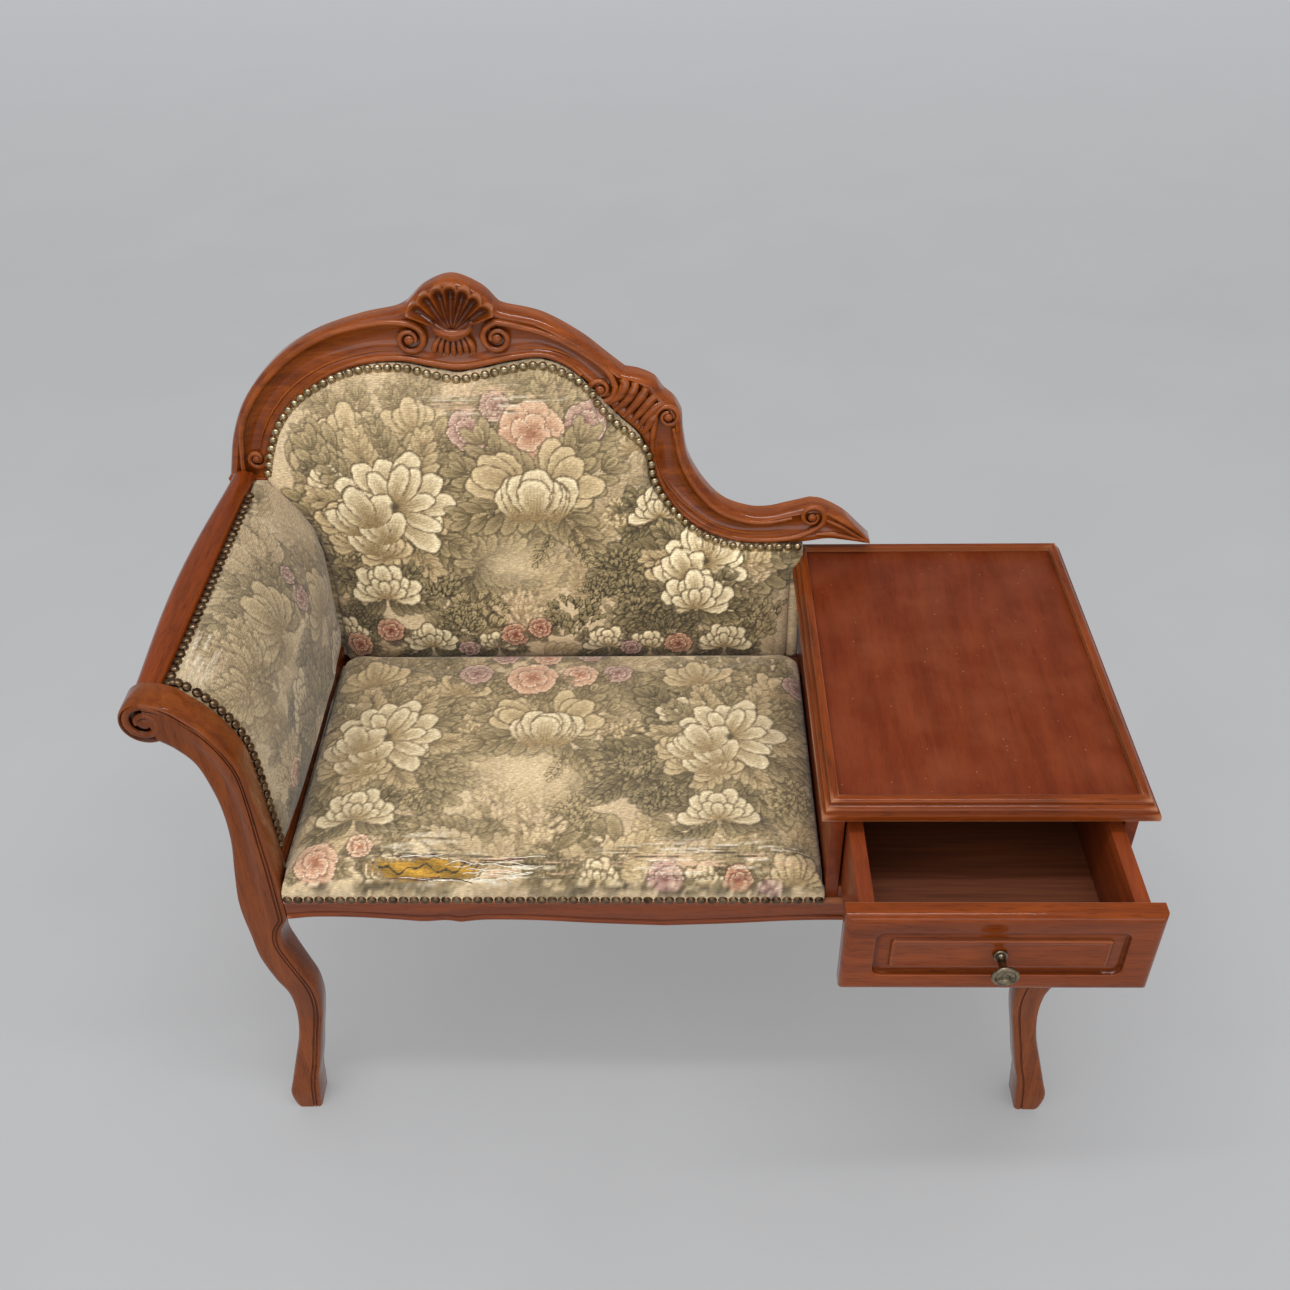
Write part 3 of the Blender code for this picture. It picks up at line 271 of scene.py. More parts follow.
def stained_beech(name, grain, light="#8c4012", mid="#6a2a0b", dark="#260d05", contrast=0.8, gloss=0.26, coat=0.5,
                  wear_and_highlight=0.0, stain_and_shade=(0.3, 0.92), specks=0.0, worn_and_lit_edge="#b0662c"):
    """Beech stained to mahogany and lacquered: short dark flecks along the grain, slow bands of tone,
    dark stain left in the hollows and deepened there by painted shade, and paler edges, partly rubbed and partly
    painted highlight, under a clear gloss."""
    material, tree, shader = blank(name, gloss, Coat_Weight=coat, Coat_Roughness=0.08, Coat_IOR=1.4,
                                   Specular_IOR_Level=0.12)
    place = own_place(tree)
    bands = [14 * MM] * 3
    flecks = [1.5 * MM] * 3                 # real pores are finer; these are as coarse as they need to show
    bands[grain] = 160 * MM
    flecks[grain] = 22 * MM
    tone = noise(tree, place, bands, 4, 0.7)
    pores = noise(tree, place, flecks, 2)
    wood = ramp(tree, tone, 0.3, 0.72, srgb(mid), srgb(light))
    streak = ramp(tree, pores, 0.52, 0.72, (1, 1, 1), (0.55, 0.5, 0.48))
    wood = mixed(tree, contrast, wood, streak, "MULTIPLY")
    # painted highlight with real wear: sharp convex edges, found by their pointiness, are drawn paler
    if wear_and_highlight:
        edge = node(tree, "NewGeometry").outputs["Pointiness"]
        wood = mixed(tree, ramp(tree, edge, 0.53, 0.64, (0, 0, 0), [wear_and_highlight] * 3), wood, srgb(worn_and_lit_edge))
    if specks:
        clouds = noise(tree, place, 55 * MM, 5)
        wood = mixed(tree, ramp(tree, clouds, 0.4, 0.75, (0, 0, 0), [0.3] * 3), wood, srgb("#8a4a2c"))
        dots = node(tree, "TexVoronoi", {"Vector": place, "Scale": 1 / (16 * MM), "Randomness": 1.0})
        marks = ramp(tree, dots.outputs["Distance"], 0.03, 0.07, [specks] * 3, (0, 0, 0))
        wood = mixed(tree, marks, wood, srgb("#b07a5c"))
    # painted shade with real stain: where the piece shuts out light from itself, its colour is drawn towards the dark
    # stain
    hollow = node(tree, "AmbientOcclusion", {"Distance": 11 * MM}, samples=6, only_local=True)
    wood = mixed(tree, ramp(tree, hollow.outputs["AO"], *stain_and_shade, (1, 1, 1), (0, 0, 0)), wood, srgb(dark))
    dressed(tree, shader, wood, pores, 0.06, 0.4 * MM)
    return material


def plain_wood(name, grain, light, dark, roughness=0.6):
    """Planed softwood or ply without a finish: pale, matt, with straight darker streaks."""
    material, tree, shader = blank(name, roughness)
    size = [4 * MM] * 3
    size[grain] = 120 * MM
    streaks = noise(tree, own_place(tree), size, 5, 0.4)
    dressed(tree, shader, ramp(tree, streaks, 0.32, 0.7, srgb(dark), srgb(light)))
    return material


def aged_brass(name, light, dark):
    """Stamped or cast brass, darkened by age: bright on top, brown and dull where dirt stays."""
    material, tree, shader = blank(name, 0.5, 1.0)
    spots = noise(tree, own_place(tree), 9 * MM, 4)
    dressed(tree, shader, ramp(tree, spots, 0.34, 0.66, srgb(dark), srgb(light)))
    dull = node(tree, "MapRange", {"Value": spots, "To Min": 0.5, "To Max": 0.24})
    tree.links.new(dull.outputs["Result"], shader.inputs["Roughness"])
    return material


def tapestry_cloth(name):
    """Jacquard-woven tapestry: matt, with fine raised weft ribs and colours that break up thread by thread."""
    material, tree, shader = blank(name, 0.92, Sheen_Weight=0.25, Sheen_Roughness=0.5, Specular_IOR_Level=0.2)
    colour = node(tree, "Attribute", attribute_name="weave").outputs["Color"]
    place = node(tree, "Attribute", attribute_name="cloth").outputs["Vector"]
    threads = noise(tree, place, (7 * MM, 1.1 * MM, 1), 2)
    tint = ramp(tree, threads, 0.36, 0.64, (0.72, 0.7, 0.66), (1.12, 1.11, 1.08))
    colour = mixed(tree, 1.0, colour, tint, "MULTIPLY")
    split = node(tree, "SeparateXYZ", {"Vector": place})
    rib = 2.2 * MM
    across = node(tree, "Math", {0: split.outputs["Y"], 1: 2 * math.pi / rib}, operation="MULTIPLY")
    wave = node(tree, "Math", {0: across.outputs[0]}, operation="SINE")
    height = node(tree, "Math", {0: threads, 1: 2.5, 2: wave.outputs[0]}, operation="MULTIPLY_ADD")
    dressed(tree, shader, colour, height.outputs[0], 0.35, 0.35 * MM)
    return material


def backing_weave(name):
    """Plain brown linen backing: even square weave, dull."""
    material, tree, shader = blank(name, 0.95, Specular_IOR_Level=0.15)
    place = own_place(tree)
    threads = noise(tree, place, 1.6 * MM, 2)
    colour = ramp(tree, threads, 0.35, 0.65, srgb("#7d6c4c"), srgb("#a08d68"))
    shade = ramp(tree, noise(tree, place, 70 * MM, 3), 0.3, 0.7, (0.85, 0.84, 0.82), (1, 1, 1))
    dressed(tree, shader, mixed(tree, 1.0, colour, shade, "MULTIPLY"), threads, 0.3, 0.3 * MM)
    return material


def studio_floor():
    """Smooth painted studio floor: even pale grey with faint scuffs near the bench and painted light that grows paler
    further back, and a little light of its own that keeps the shadow on it soft."""
    material, tree, shader = blank("painted_floor", 0.75, Emission_Color=STUDIO_WHITE, Emission_Strength=0.168)
    place = own_place(tree)
    scuffs = noise(tree, place, 1 / 3, 6)
    colour = ramp(tree, scuffs, 0.3, 0.7, srgb("#878889"), srgb("#8b8c8d"))
    # painted light: the floor turns paler further back, for the studio light that falls there
    away = node(tree, "SeparateXYZ", {"Vector": place})
    far = node(tree, "MapRange", {"Value": away.outputs["Y"], "From Min": 2.2, "From Max": 6.0})
    dressed(tree, shader, mixed(tree, far.outputs["Result"], colour, srgb("#a0a1a5")))
    return material


CARVED = stained_beech("carved_beech", 0, "#8a4312", "#622a0a", coat=0.9, wear_and_highlight=0.55, stain_and_shade=(0.42, 0.98))
POST = stained_beech("sawn_beech", 2, "#7b3c10", "#5d290a", coat=0.5, wear_and_highlight=0.25)
WOOD_X = stained_beech("stained_beech_along", 0, "#7e390e", "#62290a")
WOOD_Y = stained_beech("stained_beech_deep", 1, "#7c360d", "#5e2709")
WOOD_Z = stained_beech("stained_beech_upright", 2)
# mouldings whose edges are drawn paler: partly worn finish, partly painted highlight
EDGE_X = stained_beech("worn_and_highlit_moulding_along", 0, "#7e390e", "#62290a", wear_and_highlight=0.7, worn_and_lit_edge="#c98d66")
EDGE_Y = stained_beech("worn_and_highlit_moulding_deep", 1, "#7c360d", "#5e2709", wear_and_highlight=0.7, worn_and_lit_edge="#c98d66")
PANEL = stained_beech("mahogany_veneer", 1, "#6d2b0f", "#5d230a", "#3a1508", 0.45, 0.42, 0.06, specks=0.5)
BOARD = stained_beech("veneered_board", 1, "#7d3817", "#672b12", "#3a1508", 0.5, 0.36, 0.15)
BEECH = plain_wood("planed_beech", 0, "#c9a377", "#a67c50")
PLY = plain_wood("stained_plywood", 0, "#6f3c22", "#552a16", 0.5)
TAPESTRY = tapestry_cloth("floral_tapestry")
LINEN = backing_weave("backing_linen")
NAIL = aged_brass("antique_nail_brass", "#d0bf9c", "#7a6647")
# a darker copy of the nail brass: dulled brass, with painted shade for the seat row that faces down out of the light
# from above
DULL_AND_SHADED_NAIL = aged_brass("dulled_and_shaded_nail_brass", "#8f765a", "#4c382a")
KNOB = aged_brass("cast_knob_brass", "#9a8c74", "#4c4234")
STEEL = aged_brass("plated_steel", "#b8b8b6", "#83807a")


# Crest: outline in millimetres along the back, x and height

OUTER_ARCH = [(-543, 288), (-529, 344), (-504, 395), (-460, 443), (-410, 474), (-352, 494), (-308, 503), (-292, 511)]
OUTER_SHELL = [(-292, 511), (-270, 531), (-236, 543), (-202, 529), (-183, 509)]
OUTER_SHOULDER = [(-183, 509), (-174, 505), (-130, 494), (-85, 468), (-50, 439), (-32, 424)]
OUTER_REEDS = [(-32, 424), (-13, 420), (5, 411), (16, 396), (30, 383), (39, 366)]
OUTER_SWEEP = [(39, 366), (41, 339), (48, 304), (67, 269), (93, 241), (126, 228), (152, 227), (178, 233), (206, 240)]
OUTER_LEAF = [(206, 240), (223, 237), (250, 222), (271, 202), (286, 187)]
INNER_EDGE = [(-493, 288), (-482, 326), (-464, 363), (-433, 399), (-392, 425), (-345, 440), (-303, 442), (-235, 429),
              (-169, 442), (-132, 445), (-102, 434), (-73, 409), (-40, 370), (-14, 344), (-4, 315), (0, 280),
              (20, 247), (48, 219), (80, 198), (119, 188), (184, 186)]
LEAF_UNDER = [(184, 186), (203, 188), (229, 192), (250, 190), (284, 185)]
LEAF_PLACES = 24                            # places along the end leaf


def mm(points):
    """Millimetres as metres."""
    return np.array(points, float) * MM


def portion(path, start, end, count):
    """The part of a path between the places nearest to two points."""
    first, last = (int(np.argmin(np.linalg.norm(path - mm(point), axis=1))) for point in (start, end))
    return even(path[first:last + 1], count=count)


def crest_edges():
    """Outer and inner edge of the crest, place for place."""
    inner = line(mm(INNER_EDGE), MM)
    runs = [(OUTER_ARCH, (-493, 288), (-268, 435), 70), (OUTER_SHELL, (-268, 435), (-204, 435), 34),
            (OUTER_SHOULDER, (-204, 435), (-70, 405), 44), (OUTER_REEDS, (-70, 405), (-8, 332), 30),
            (OUTER_SWEEP, (-8, 332), (184, 186), 70)]
    outer_parts = []
    inner_parts = []
    for points, start, end, count in runs:
        outer_parts.append(even(line(mm(points), MM), count=count)[:-1])
        inner_parts.append(portion(inner, start, end, count)[:-1])
    outer_parts.append(even(line(mm(OUTER_LEAF), MM), count=LEAF_PLACES))
    inner_parts.append(even(line(mm(LEAF_UNDER), MM), count=LEAF_PLACES))
    return np.vstack(outer_parts), np.vstack(inner_parts)


def crest_section(width, hollow):
    """Section of the crest from the rear of its outer side round the front to the rear of its inner side."""
    rear = 36 * MM
    face = 4.4 * MM
    full_width = 46 * MM                    # a narrower crest has a smaller section
    k = min(1, width / full_width) * MM
    outer = [(0, 33 * MM), (0, 15 * MM), (1.2 * k, 10.5 * MM), (3.6 * k, 7.2 * MM), (7 * k, 5 * MM), (10 * k, face)]
    inner = [(10 * k, face), (3 * k, 4.2 * MM), (0.8 * k, 5.2 * MM), (0, 7.5 * MM), (0, rear)]
    span = width - 20 * k
    cove = [(10 * k + t * span, face + hollow * math.sin(math.pi * t) ** 0.75) for t in np.linspace(0.08, 0.92, 9)]
    return [*outer, *cove, *[(width - b, off) for b, off in inner], (0.5 * width, rear)]


def crest_board():
    """The sawn crest with its hollowed face between two raised edges."""
    outer, inner = crest_edges()
    rings = []
    for index, (o, i) in enumerate(zip(outer, inner)):
        width = float(np.linalg.norm(i - o))
        across = (i - o) / width
        leaf = max(0, index - (len(outer) - LEAF_PLACES)) / LEAF_PLACES
        hollow = min(7 * MM, 0.13 * width) * (1 - leaf) - 2.5 * MM * leaf
        ring = []
        for a, off in crest_section(width, hollow):
            x, h = o + across * a
            ring.append((x, off, h))
        rings.append(ring)
    bm = bmesh.new()
    sweep(bm, rings)
    piece("crest_board", bm, CARVED, nodes=["crest_rail"], matrix=BACK, angle=50)


def crest_beads():
    """Raised beads that run along the edges of the crest and roll up into volutes, and fine lines inside them."""
    arch = [(-522, 292), (-520, 318), (-513, 357), (-491, 397), (-460, 431), (-420, 461), (-378, 480), (-340, 489),
            (-312, 492)]
    shoulder = [(-53, 428), (-76, 447), (-104, 465), (-132, 478), (-160, 486)]
    low = [(1, 326), (5, 297), (18, 263), (40, 231), (71, 208), (110, 194), (151, 191), (190, 196)]
    upper = [(28, 352), (31, 336), (39, 302), (58, 265), (87, 234), (124, 219), (153, 217), (182, 223)]
    inner = [(-484, 312), (-476, 336), (-458, 371), (-429, 403), (-390, 429), (-346, 444), (-303, 447), (-268, 441),
             (-235, 436), (-203, 440), (-169, 447), (-132, 450), (-104, 440), (-84, 424)]
    curl = {"turns": 1.3, "eye": 0.36}
    left = np.vstack([mm(arch), volute(mm((-290, 470)), 20 * MM, 92, -1, **curl)])
    right = np.vstack([volute(mm((-62, 404)), 19 * MM, 18, -1, **curl)[::-1], mm(shoulder),
                       volute(mm((-184, 471)), 20 * MM, 84, 1, **curl)])
    swept = np.vstack([volute(mm((22, 367)), 17 * MM, 196, -1, **curl)[::-1], mm(low),
                       volute(mm((208, 225)), 18 * MM, -68, 1, **curl)])
    lining = np.vstack([volute(mm((-502, 313)), 13.5 * MM, 10, -1, 1.2, 0.3)[::-1], mm(inner)])
    bm = bmesh.new()
    for path, radius in ((left, (3.2, 3.8, 3.8, 4, 4.6, 3.4)), (right, (3.2, 4.4, 3.8, 4, 4.4, 3.4)),
                         (swept, (3, 4, 4, 4, 4, 4.2, 3)), (mm(upper), (2, 3.4, 3.6, 3.4, 2)),
                         (lining, (3.4, 4.2, 4.2, 4.2, 4.2, 4.2, 3.2))):
        bead(bm, line(path, 2.5 * MM), mm(radius), 4.2 * MM, 0.95)
    for x, h, radius in ((-290, 470, 6.6), (-184, 471, 6.6), (-62, 404, 6.4), (22, 367, 5.8), (208, 225, 6),
                         (-502, 313, 5.6)):
        button(bm, mm((x, 3, h)), radius * MM, 4.5 * MM, around=14, rings=8)
    piece("crest_beads", bm, CARVED, matrix=BACK)
    bm = bmesh.new()
    outer, edge = crest_edges()
    width = np.linalg.norm(outer - edge, axis=1)[:, None]
    stepped = edge + (outer - edge) / width * 15 * MM
    for first, last in ((10, 62), (112, 134), (184, 240)):
        bead(bm, even(stepped[first:last], 3 * MM), mm((0.6, 1.5, 1.5, 1.5, 0.6)), 7 * MM, 1.0, 6)
    piece("crest_fine_lines", bm, CARVED, matrix=BACK)


def crest_shell():
    """Scallop shell on the crown of the crest: hollow flutes that fan out to a lobed rim, with a lip below."""
    base = mm((-236.5, 483))
    angles = (160, 134, 110, 88, 66, 44, 20)
    reaches = (56, 53, 52, 53, 52, 51, 54)
    flutes = len(angles)
    spread = np.linspace(0, 1, flutes)
    bm = bmesh.new()
    bmesh.ops.create_grid(bm, x_segments=flutes * 10, y_segments=18, size=0.5)
    for vert in bm.verts:
        s = vert.co.x + 0.5
        t = vert.co.y + 0.5
        hollow = math.sin(math.pi * ((s * flutes) % 1)) ** 0.7
        reach = np.interp(s, spread, reaches) * MM * (0.02 + 0.98 * t) * (1 + 0.07 * hollow * t ** 3)
        rise = MM * np.interp(t, (0, 0.1, 0.3, 0.65, 1), (4, 8.5, 10, 9.5, 7.5))
        deep = np.interp(t, (0, 0.2, 0.45, 0.72, 0.86, 0.94, 1), (0, 0.12, 0.5, 1, 0.85, 0.15, 0))
        x, h = base + reach * direction(np.interp(s, spread, angles))
        vert.co = (x, 2 * MM - rise + 10.8 * MM * hollow * deep, h)
    grown = bmesh.ops.extrude_face_region(bm, geom=bm.faces[:])["geom"]
    for part in grown:
        if isinstance(part, bmesh.types.BMVert):
            part.co.y = 16 * MM
    lip = [(-261, 495), (-252, 484), (-236, 478.5), (-220, 484), (-211, 495)]
    bead(bm, line(mm(lip), 2.5 * MM), mm((3.2, 7, 9, 7, 3.2)), -1.6 * MM, 0.9, 14)
    for x in np.linspace(-1, 1, 7):
        top = np.array((-236.5 + 15 * x, 475))
        foot = np.array((-237.5 + 25 * x, 449.5 + 2.5 * abs(x)))
        pleat = mm([top, (top + foot) / 2 + (1.5 * x, 1), foot])
        bead(bm, line(pleat, 2 * MM), mm((2.4, 3.4, 4.2, 4, 2)), 2.2 * MM, 0.9, 10)
    piece("crest_shell", bm, CARVED, matrix=BACK, angle=60)


def crest_reeds():
    """Fan of curved reeds between the two volutes of the shoulder, and the ridges of the end leaf."""
    bm = bmesh.new()
    reeds = [[(-56, 384), (-38, 396), (-31, 410), (-34, 418)], [(-45, 376), (-29, 390), (-20, 405), (-19, 413)],
             [(-34, 367), (-20, 383), (-9, 398), (-5, 406)], [(-24, 360), (-11, 376), (0, 389), (7, 395)],
             [(-16, 352), (-6, 367), (5, 379), (14, 385)], [(-9, 345), (-2, 358), (6, 372)]]
    for reed in reeds:
        bead(bm, line(mm(reed), 2.5 * MM), mm((2.4, 4.6, 6.2, 7, 4.4)), 4.4 * MM, 0.8, 12)
    leaf = [[(226, 230), (246, 219), (266, 205), (284, 188)], [(222, 222), (245, 211), (265, 198), (284, 187)],
            [(214, 199), (238, 199), (262, 193), (284, 186)]]
    for ridge in leaf:
        bead(bm, line(mm(ridge), 2.5 * MM), mm((2.2, 4.4, 3.6, 0.6)), 4.6 * MM, 0.9)
    piece("crest_reeds", bm, CARVED, matrix=BACK)


# Legs, arm post and rails: distance in from the side of the frame and height, in millimetres

LEG_OUTER = [(0, 405), (0, 381), (3, 340), (6, 300), (17, 258), (28, 228), (30, 189), (25, 142), (13, 93), (2, 49),
             (-3, 28), (0, 8), (3, 0)]
LEG_INNER = [(53, 405), (53, 371), (42, 351), (39, 324), (45, 299), (56, 263), (63, 239), (65, 211), (62, 182),
             (54, 137), (46, 90), (39, 57), (36, 24), (34, 0)]
POST_OUTER = [(-31, 654), (-16, 642), (0, 620), (9, 583), (13, 546), (12, 502), (6, 456), (2, 424), (0, 405)]
POST_INNER = [(-41, 707), (-17, 701), (1, 686), (19, 667), (35, 640), (45, 610), (49, 560), (51, 507), (53, 457),
              (53, 405)]
SCROLL_CENTRE = mm((-518, 679.5))           # x and height in the room


def board_depth(height):
    """Front and rear of the front boards at a height: the leg swells forward at the knee and the foot."""
    front = np.interp(height, mm((0, 28, 89, 182, 263, 324)), mm((-8, -8, -2, 3, 1, 0)))
    rear = np.interp(height, mm((0, 28, 89, 182, 263, 344)), mm((33, 33, 31, 31, 34, 38)))
    return FRAME_FRONT + front, FRAME_FRONT + rear


def face_grooves(width, lines, flute):
    """Depth of the front face across a board, as shares of its width and depths."""
    edge = 4.5 * MM / width
    points = [(0, 4.5 * MM), (0.3 * edge, 1.4 * MM), (edge, 0)]
    for gap in lines:
        middle = 1 - gap / width
        points.extend((middle + d * MM / width, h * MM) for d, h in ((-1.4, 0), (-0.5, 1.3), (0.5, 1.3), (1.4, 0)))
    for t in np.linspace(0.2, 0.62, 9):
        points.append((t, max(0, flute * math.sin(math.pi * (t - 0.2) / 0.42))))
    points.extend([(1 - edge, 0), (1 - 0.3 * edge, 1.4 * MM), (1, 4.5 * MM)])
    return sorted(points)


def sawn_rings(outer, inner, lines, flute):
    """Sections of a board sawn between two edges: a grooved face, and a rear with its corners eased."""
    rings = []
    for index, (o, i) in enumerate(zip(outer, inner)):
        width = float(np.linalg.norm(i - o))
        front, rear = board_depth((o[1] + i[1]) / 2)
        edge = 4 * MM / width
        eased_rear = ((1, 4), (1 - 0.3 * edge, 1.2), (1 - edge, 0), (edge, 0), (0.3 * edge, 1.2), (0, 4))
        depths = [(t, front + d) for t, d in face_grooves(width, lines, flute(index / (len(outer) - 1)))]
        depths.extend((t, rear - d * MM) for t, d in eased_rear)
        ring = []
        for t, y in depths:
            x, z = o + (i - o) * t
            ring.append((x, y, z))
        rings.append(ring)
    return rings


def from_side(points, side):
    """Points measured in from the left or the right side of the frame."""
    edge = FRAME_LEFT if side < 0 else FRAME_RIGHT
    return np.array([(edge - side * x * MM, z * MM) for x, z in points])


def leg_edges(side, count):
    """Outer and inner edge of a front leg, from the rail down."""
    outer = line(from_side(LEG_OUTER, side), MM)
    inner = np.vstack([line(from_side(LEG_INNER[:2], side), MM), line(from_side(LEG_INNER[1:], side), MM)[1:]])
    return even(outer, count=count), even(inner, count=count)


def front_post():
    """Arm post and leg in one sawn board: a fluted face, fine lines along its inner edge and a scroll on top."""
    leg = leg_edges(-1, 70)
    post = [even(line(from_side(points, -1), MM), count=64) for points in (POST_OUTER, POST_INNER)]
    outer, inner = (np.vstack([above[:-1], below]) for above, below in zip(post, leg))
    bm = bmesh.new()
    sweep(bm, sawn_rings(outer, inner, mm((6, 10)),
                         lambda share: 3 * MM * np.interp(share, (0.04, 0.12, 0.4, 0.52), (0, 1, 1, 0))))
    front, rear = board_depth(SCROLL_CENTRE[1])
    scroll = [(r * MM, front + d * MM) for r, d in ((0, 6), (14, 6), (22, 4.5), (25, 0.6), (26.4, 1.2), (27.5, 4))]
    scroll.extend([(27.5 * MM, rear - 3 * MM), (25 * MM, rear), (0, rear)])
    turned(bm, scroll, Matrix.Translation((SCROLL_CENTRE[0], 0, SCROLL_CENTRE[1])))
    rim = np.vstack([line(from_side([(44, 596), (33, 634), (17, 660), (-1, 678), (-18, 692)], -1), 2.5 * MM),
                     volute(SCROLL_CENTRE, 22.6 * MM, 80, 1, 1.3, 0.34)])
    bead(bm, line(rim, 2.5 * MM), mm((0.8, 2.4, 2.8, 4.2, 4.6, 3.6)), front + 2.4 * MM, 0.8)
    button(bm, (SCROLL_CENTRE[0], front + 2.4 * MM, SCROLL_CENTRE[1]), 8 * MM, 3.4 * MM, around=20, rings=8)
    piece("arm_post", bm, POST, nodes=["left_front_post"], angle=42)


def turned(bm, profile, place):
    """A turned shape: radius and depth points spun about a front-to-back axis."""
    earlier = set(bm.verts)
    verts = [bm.verts.new((radius, depth, 0)) for radius, depth in profile]
    edges = [bm.edges.new(pair) for pair in zip(verts, verts[1:])]
    bmesh.ops.spin(bm, geom=[*verts, *edges], cent=(0, 0, 0), axis=(0, 1, 0), angle=2 * math.pi, steps=48,
                   use_merge=True)
    bmesh.ops.transform(bm, matrix=place, verts=[vert for vert in bm.verts if vert not in earlier])


def right_leg():
    """Sawn cabriole leg under the cabinet, with a fine line down its face."""
    outer, inner = leg_edges(1, 80)
    bm = bmesh.new()
    sweep(bm, sawn_rings(outer, inner, mm((9,)), lambda s: 0.0))
    piece("right_leg", bm, POST, nodes=["right_front_leg"], angle=42)


def front_rail():
    """Shaped front rail: a fillet under the nails and a bead that follows the scalloped lower edge."""
    low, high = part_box("front_rail")
    half = (high.x - low.x) / 2
    middle = (low.x + high.x) / 2
    inner_rise = [(0, 0), (0.18, 4), (0.335, 9), (0.468, 10), (0.54, 6)]
    outer_rise = [(0.54, 6), (0.58, 9), (0.64, 7), (0.705, 10), (0.81, 14), (0.92, 15), (1, 11)]
    inner, outer = (line([(share, rise * MM) for share, rise in run], 0.008) for run in (inner_rise, outer_rise))
    edge = np.vstack([inner[:-1], outer])
    edge = np.vstack([edge[::-1] * (-1, 1), edge[1:]])
    fillet = [(1, 0), (0, -1), (0, -5), (1.2, -6.4), (1.6, -9)]
    bead_face = [(1.8, 11), (2.6, 8.6), (1.2, 7.8), (0.2, 6), (0, 4.4), (0.4, 2.4), (1.8, 0.6), (4, 0)]
    rings = []
    for share, rise in edge:
        x = middle + share * half
        foot = low.z + rise
        rings.append([(x, high.y, high.z), *[(x, low.y + d * MM, high.z + h * MM) for d, h in fillet],
                      *[(x, low.y + d * MM, foot + h * MM) for d, h in bead_face], (x, high.y, foot)])
    bm = bmesh.new()
    sweep(bm, rings)
    piece("shaped_front_rail", bm, EDGE_X, nodes=["front_rail"], angle=50)


def arm_rail():
    """Rounded arm rail that runs from the scroll back to the foot of the crest, with a bead on its inner side."""
    low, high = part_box("arm_top_rail")
    centre = (low + high) / 2
    section = [(-12, -13), (-15, -7), (-15.5, 0), (-14.6, 6), (-12, 10.6), (-8, 13.8), (-3, 15.2), (2, 15.4), (6, 15),
               (7.6, 13.6), (8.8, 13.4), (10, 14.2), (12, 13.6), (14, 11), (15, 6), (15, -4), (12, -13)]
    straight = 8                            # the outer side bows out; from here inwards the rail is straight
    rings = []
    for t in np.linspace(0, 1, 48):
        y = low.y - 1 * MM + t * (high.y - low.y + 1 * MM)
        bow = 8.6 * MM * math.sin(math.pi * min(1, t * 1.05)) ** 1.2
        swell = 1 + 0.1 * math.sin(math.pi * t)
        ring = []
        for x, z in section:
            out = bow * min(1, max(0, (straight - x) / straight))
            ring.append((centre.x + x * MM * (swell if x < 0 else 1) - out, y, centre.z + z * MM))
        rings.append(ring)
    bm = bmesh.new()
    sweep(bm, rings)
    piece("arm_rail", bm, WOOD_Y, nodes=["arm_top_rail"])


# Cabinet and drawer

TOP_SECTION = [(0.6, 0), (0.1, 1.4), (0, 4), (0.1, 6.6), (0.8, 8.6), (3.4, 9.2), (3.8, 10.4), (4.1, 12.4), (5.2, 14.8),
               (7.2, 16.3), (9, 16.8), (9.1, 19.4), (9.7, 21.4), (10.9, 22.6), (12.4, 23), (13, 23), (17, 23),
               (17.6, 23), (18.6, 22.4), (19, 21), (19, 0)]

# Drawer front: inset across and up, depth and corner radius of each ring
FRONT_STEPS = [(0, 0, 20, 0.8), (0, 0, 19.2, 0.8), (0, 0, 8.3, 0.8), (0, 0, 7.5, 0.8), (0.4, 0.4, 5.6, 1),
               (1.4, 1.4, 3.6, 1.4), (3, 3, 1.8, 2), (5, 5, 0.6, 2.4), (7.4, 7.4, 0.05, 3), (9, 9, 0, 3),
               (31, 24, 0, 10), (32, 25, 0.2, 10), (32.8, 25.8, 1, 9.6), (33.2, 26.2, 3.8, 9.4), (34, 27, 5.2, 9),
               (36, 29, 5.4, 8), (38, 31, 4.6, 7), (40, 32.6, 4.2, 6), (49, 37, 4, 4), (49.6, 37.6, 3.2, 4),
               (50.2, 38.2, 1.6, 3.6), (51.6, 39.6, 0.6, 3.2), (53.6, 41.6, 0.3, 2.6), (55, 43, 1, 2.4),
               (56.4, 44.4, 1.2, 2.2)]


def top_moulding():
    """Mitred moulding round the cabinet top: a bold nose below, a hollow and a small bead above."""
    low = Vector(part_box("top_moulding_left")[0])
    high = Vector(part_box("top_moulding_right")[1])
    low.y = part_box("top_moulding_front")[0].y
    high.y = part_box("top_moulding_rear")[1].y
    corners = [Vector((x, y, low.z)) for x, y in ((low.x, low.y), (high.x, low.y), (high.x, high.y), (low.x, high.y))]
    lengths = (("front", EDGE_X), ("right", EDGE_Y), ("rear", EDGE_X), ("left", EDGE_Y))
    for index, (side, wood) in enumerate(lengths):
        start = corners[index]
        end = corners[(index + 1) % 4]
        along = (end - start).normalized()
        inwards = Vector((-along.y, along.x, 0))
        mitres = []
        for corner, way in ((start, 1), (end, -1)):
            mitres.append([corner + inwards * w * MM + along * way * (w * MM + 0.1 * MM) + Vector((0, 0, h * MM))
                           for w, h in TOP_SECTION])
        bm = bmesh.new()
        sweep(bm, [[a.lerp(b, t) for a, b in zip(*mitres)] for t in np.linspace(0, 1, 40)])
        piece("top_edge_" + side, bm, wood, nodes=["top_moulding_" + side], angle=34)


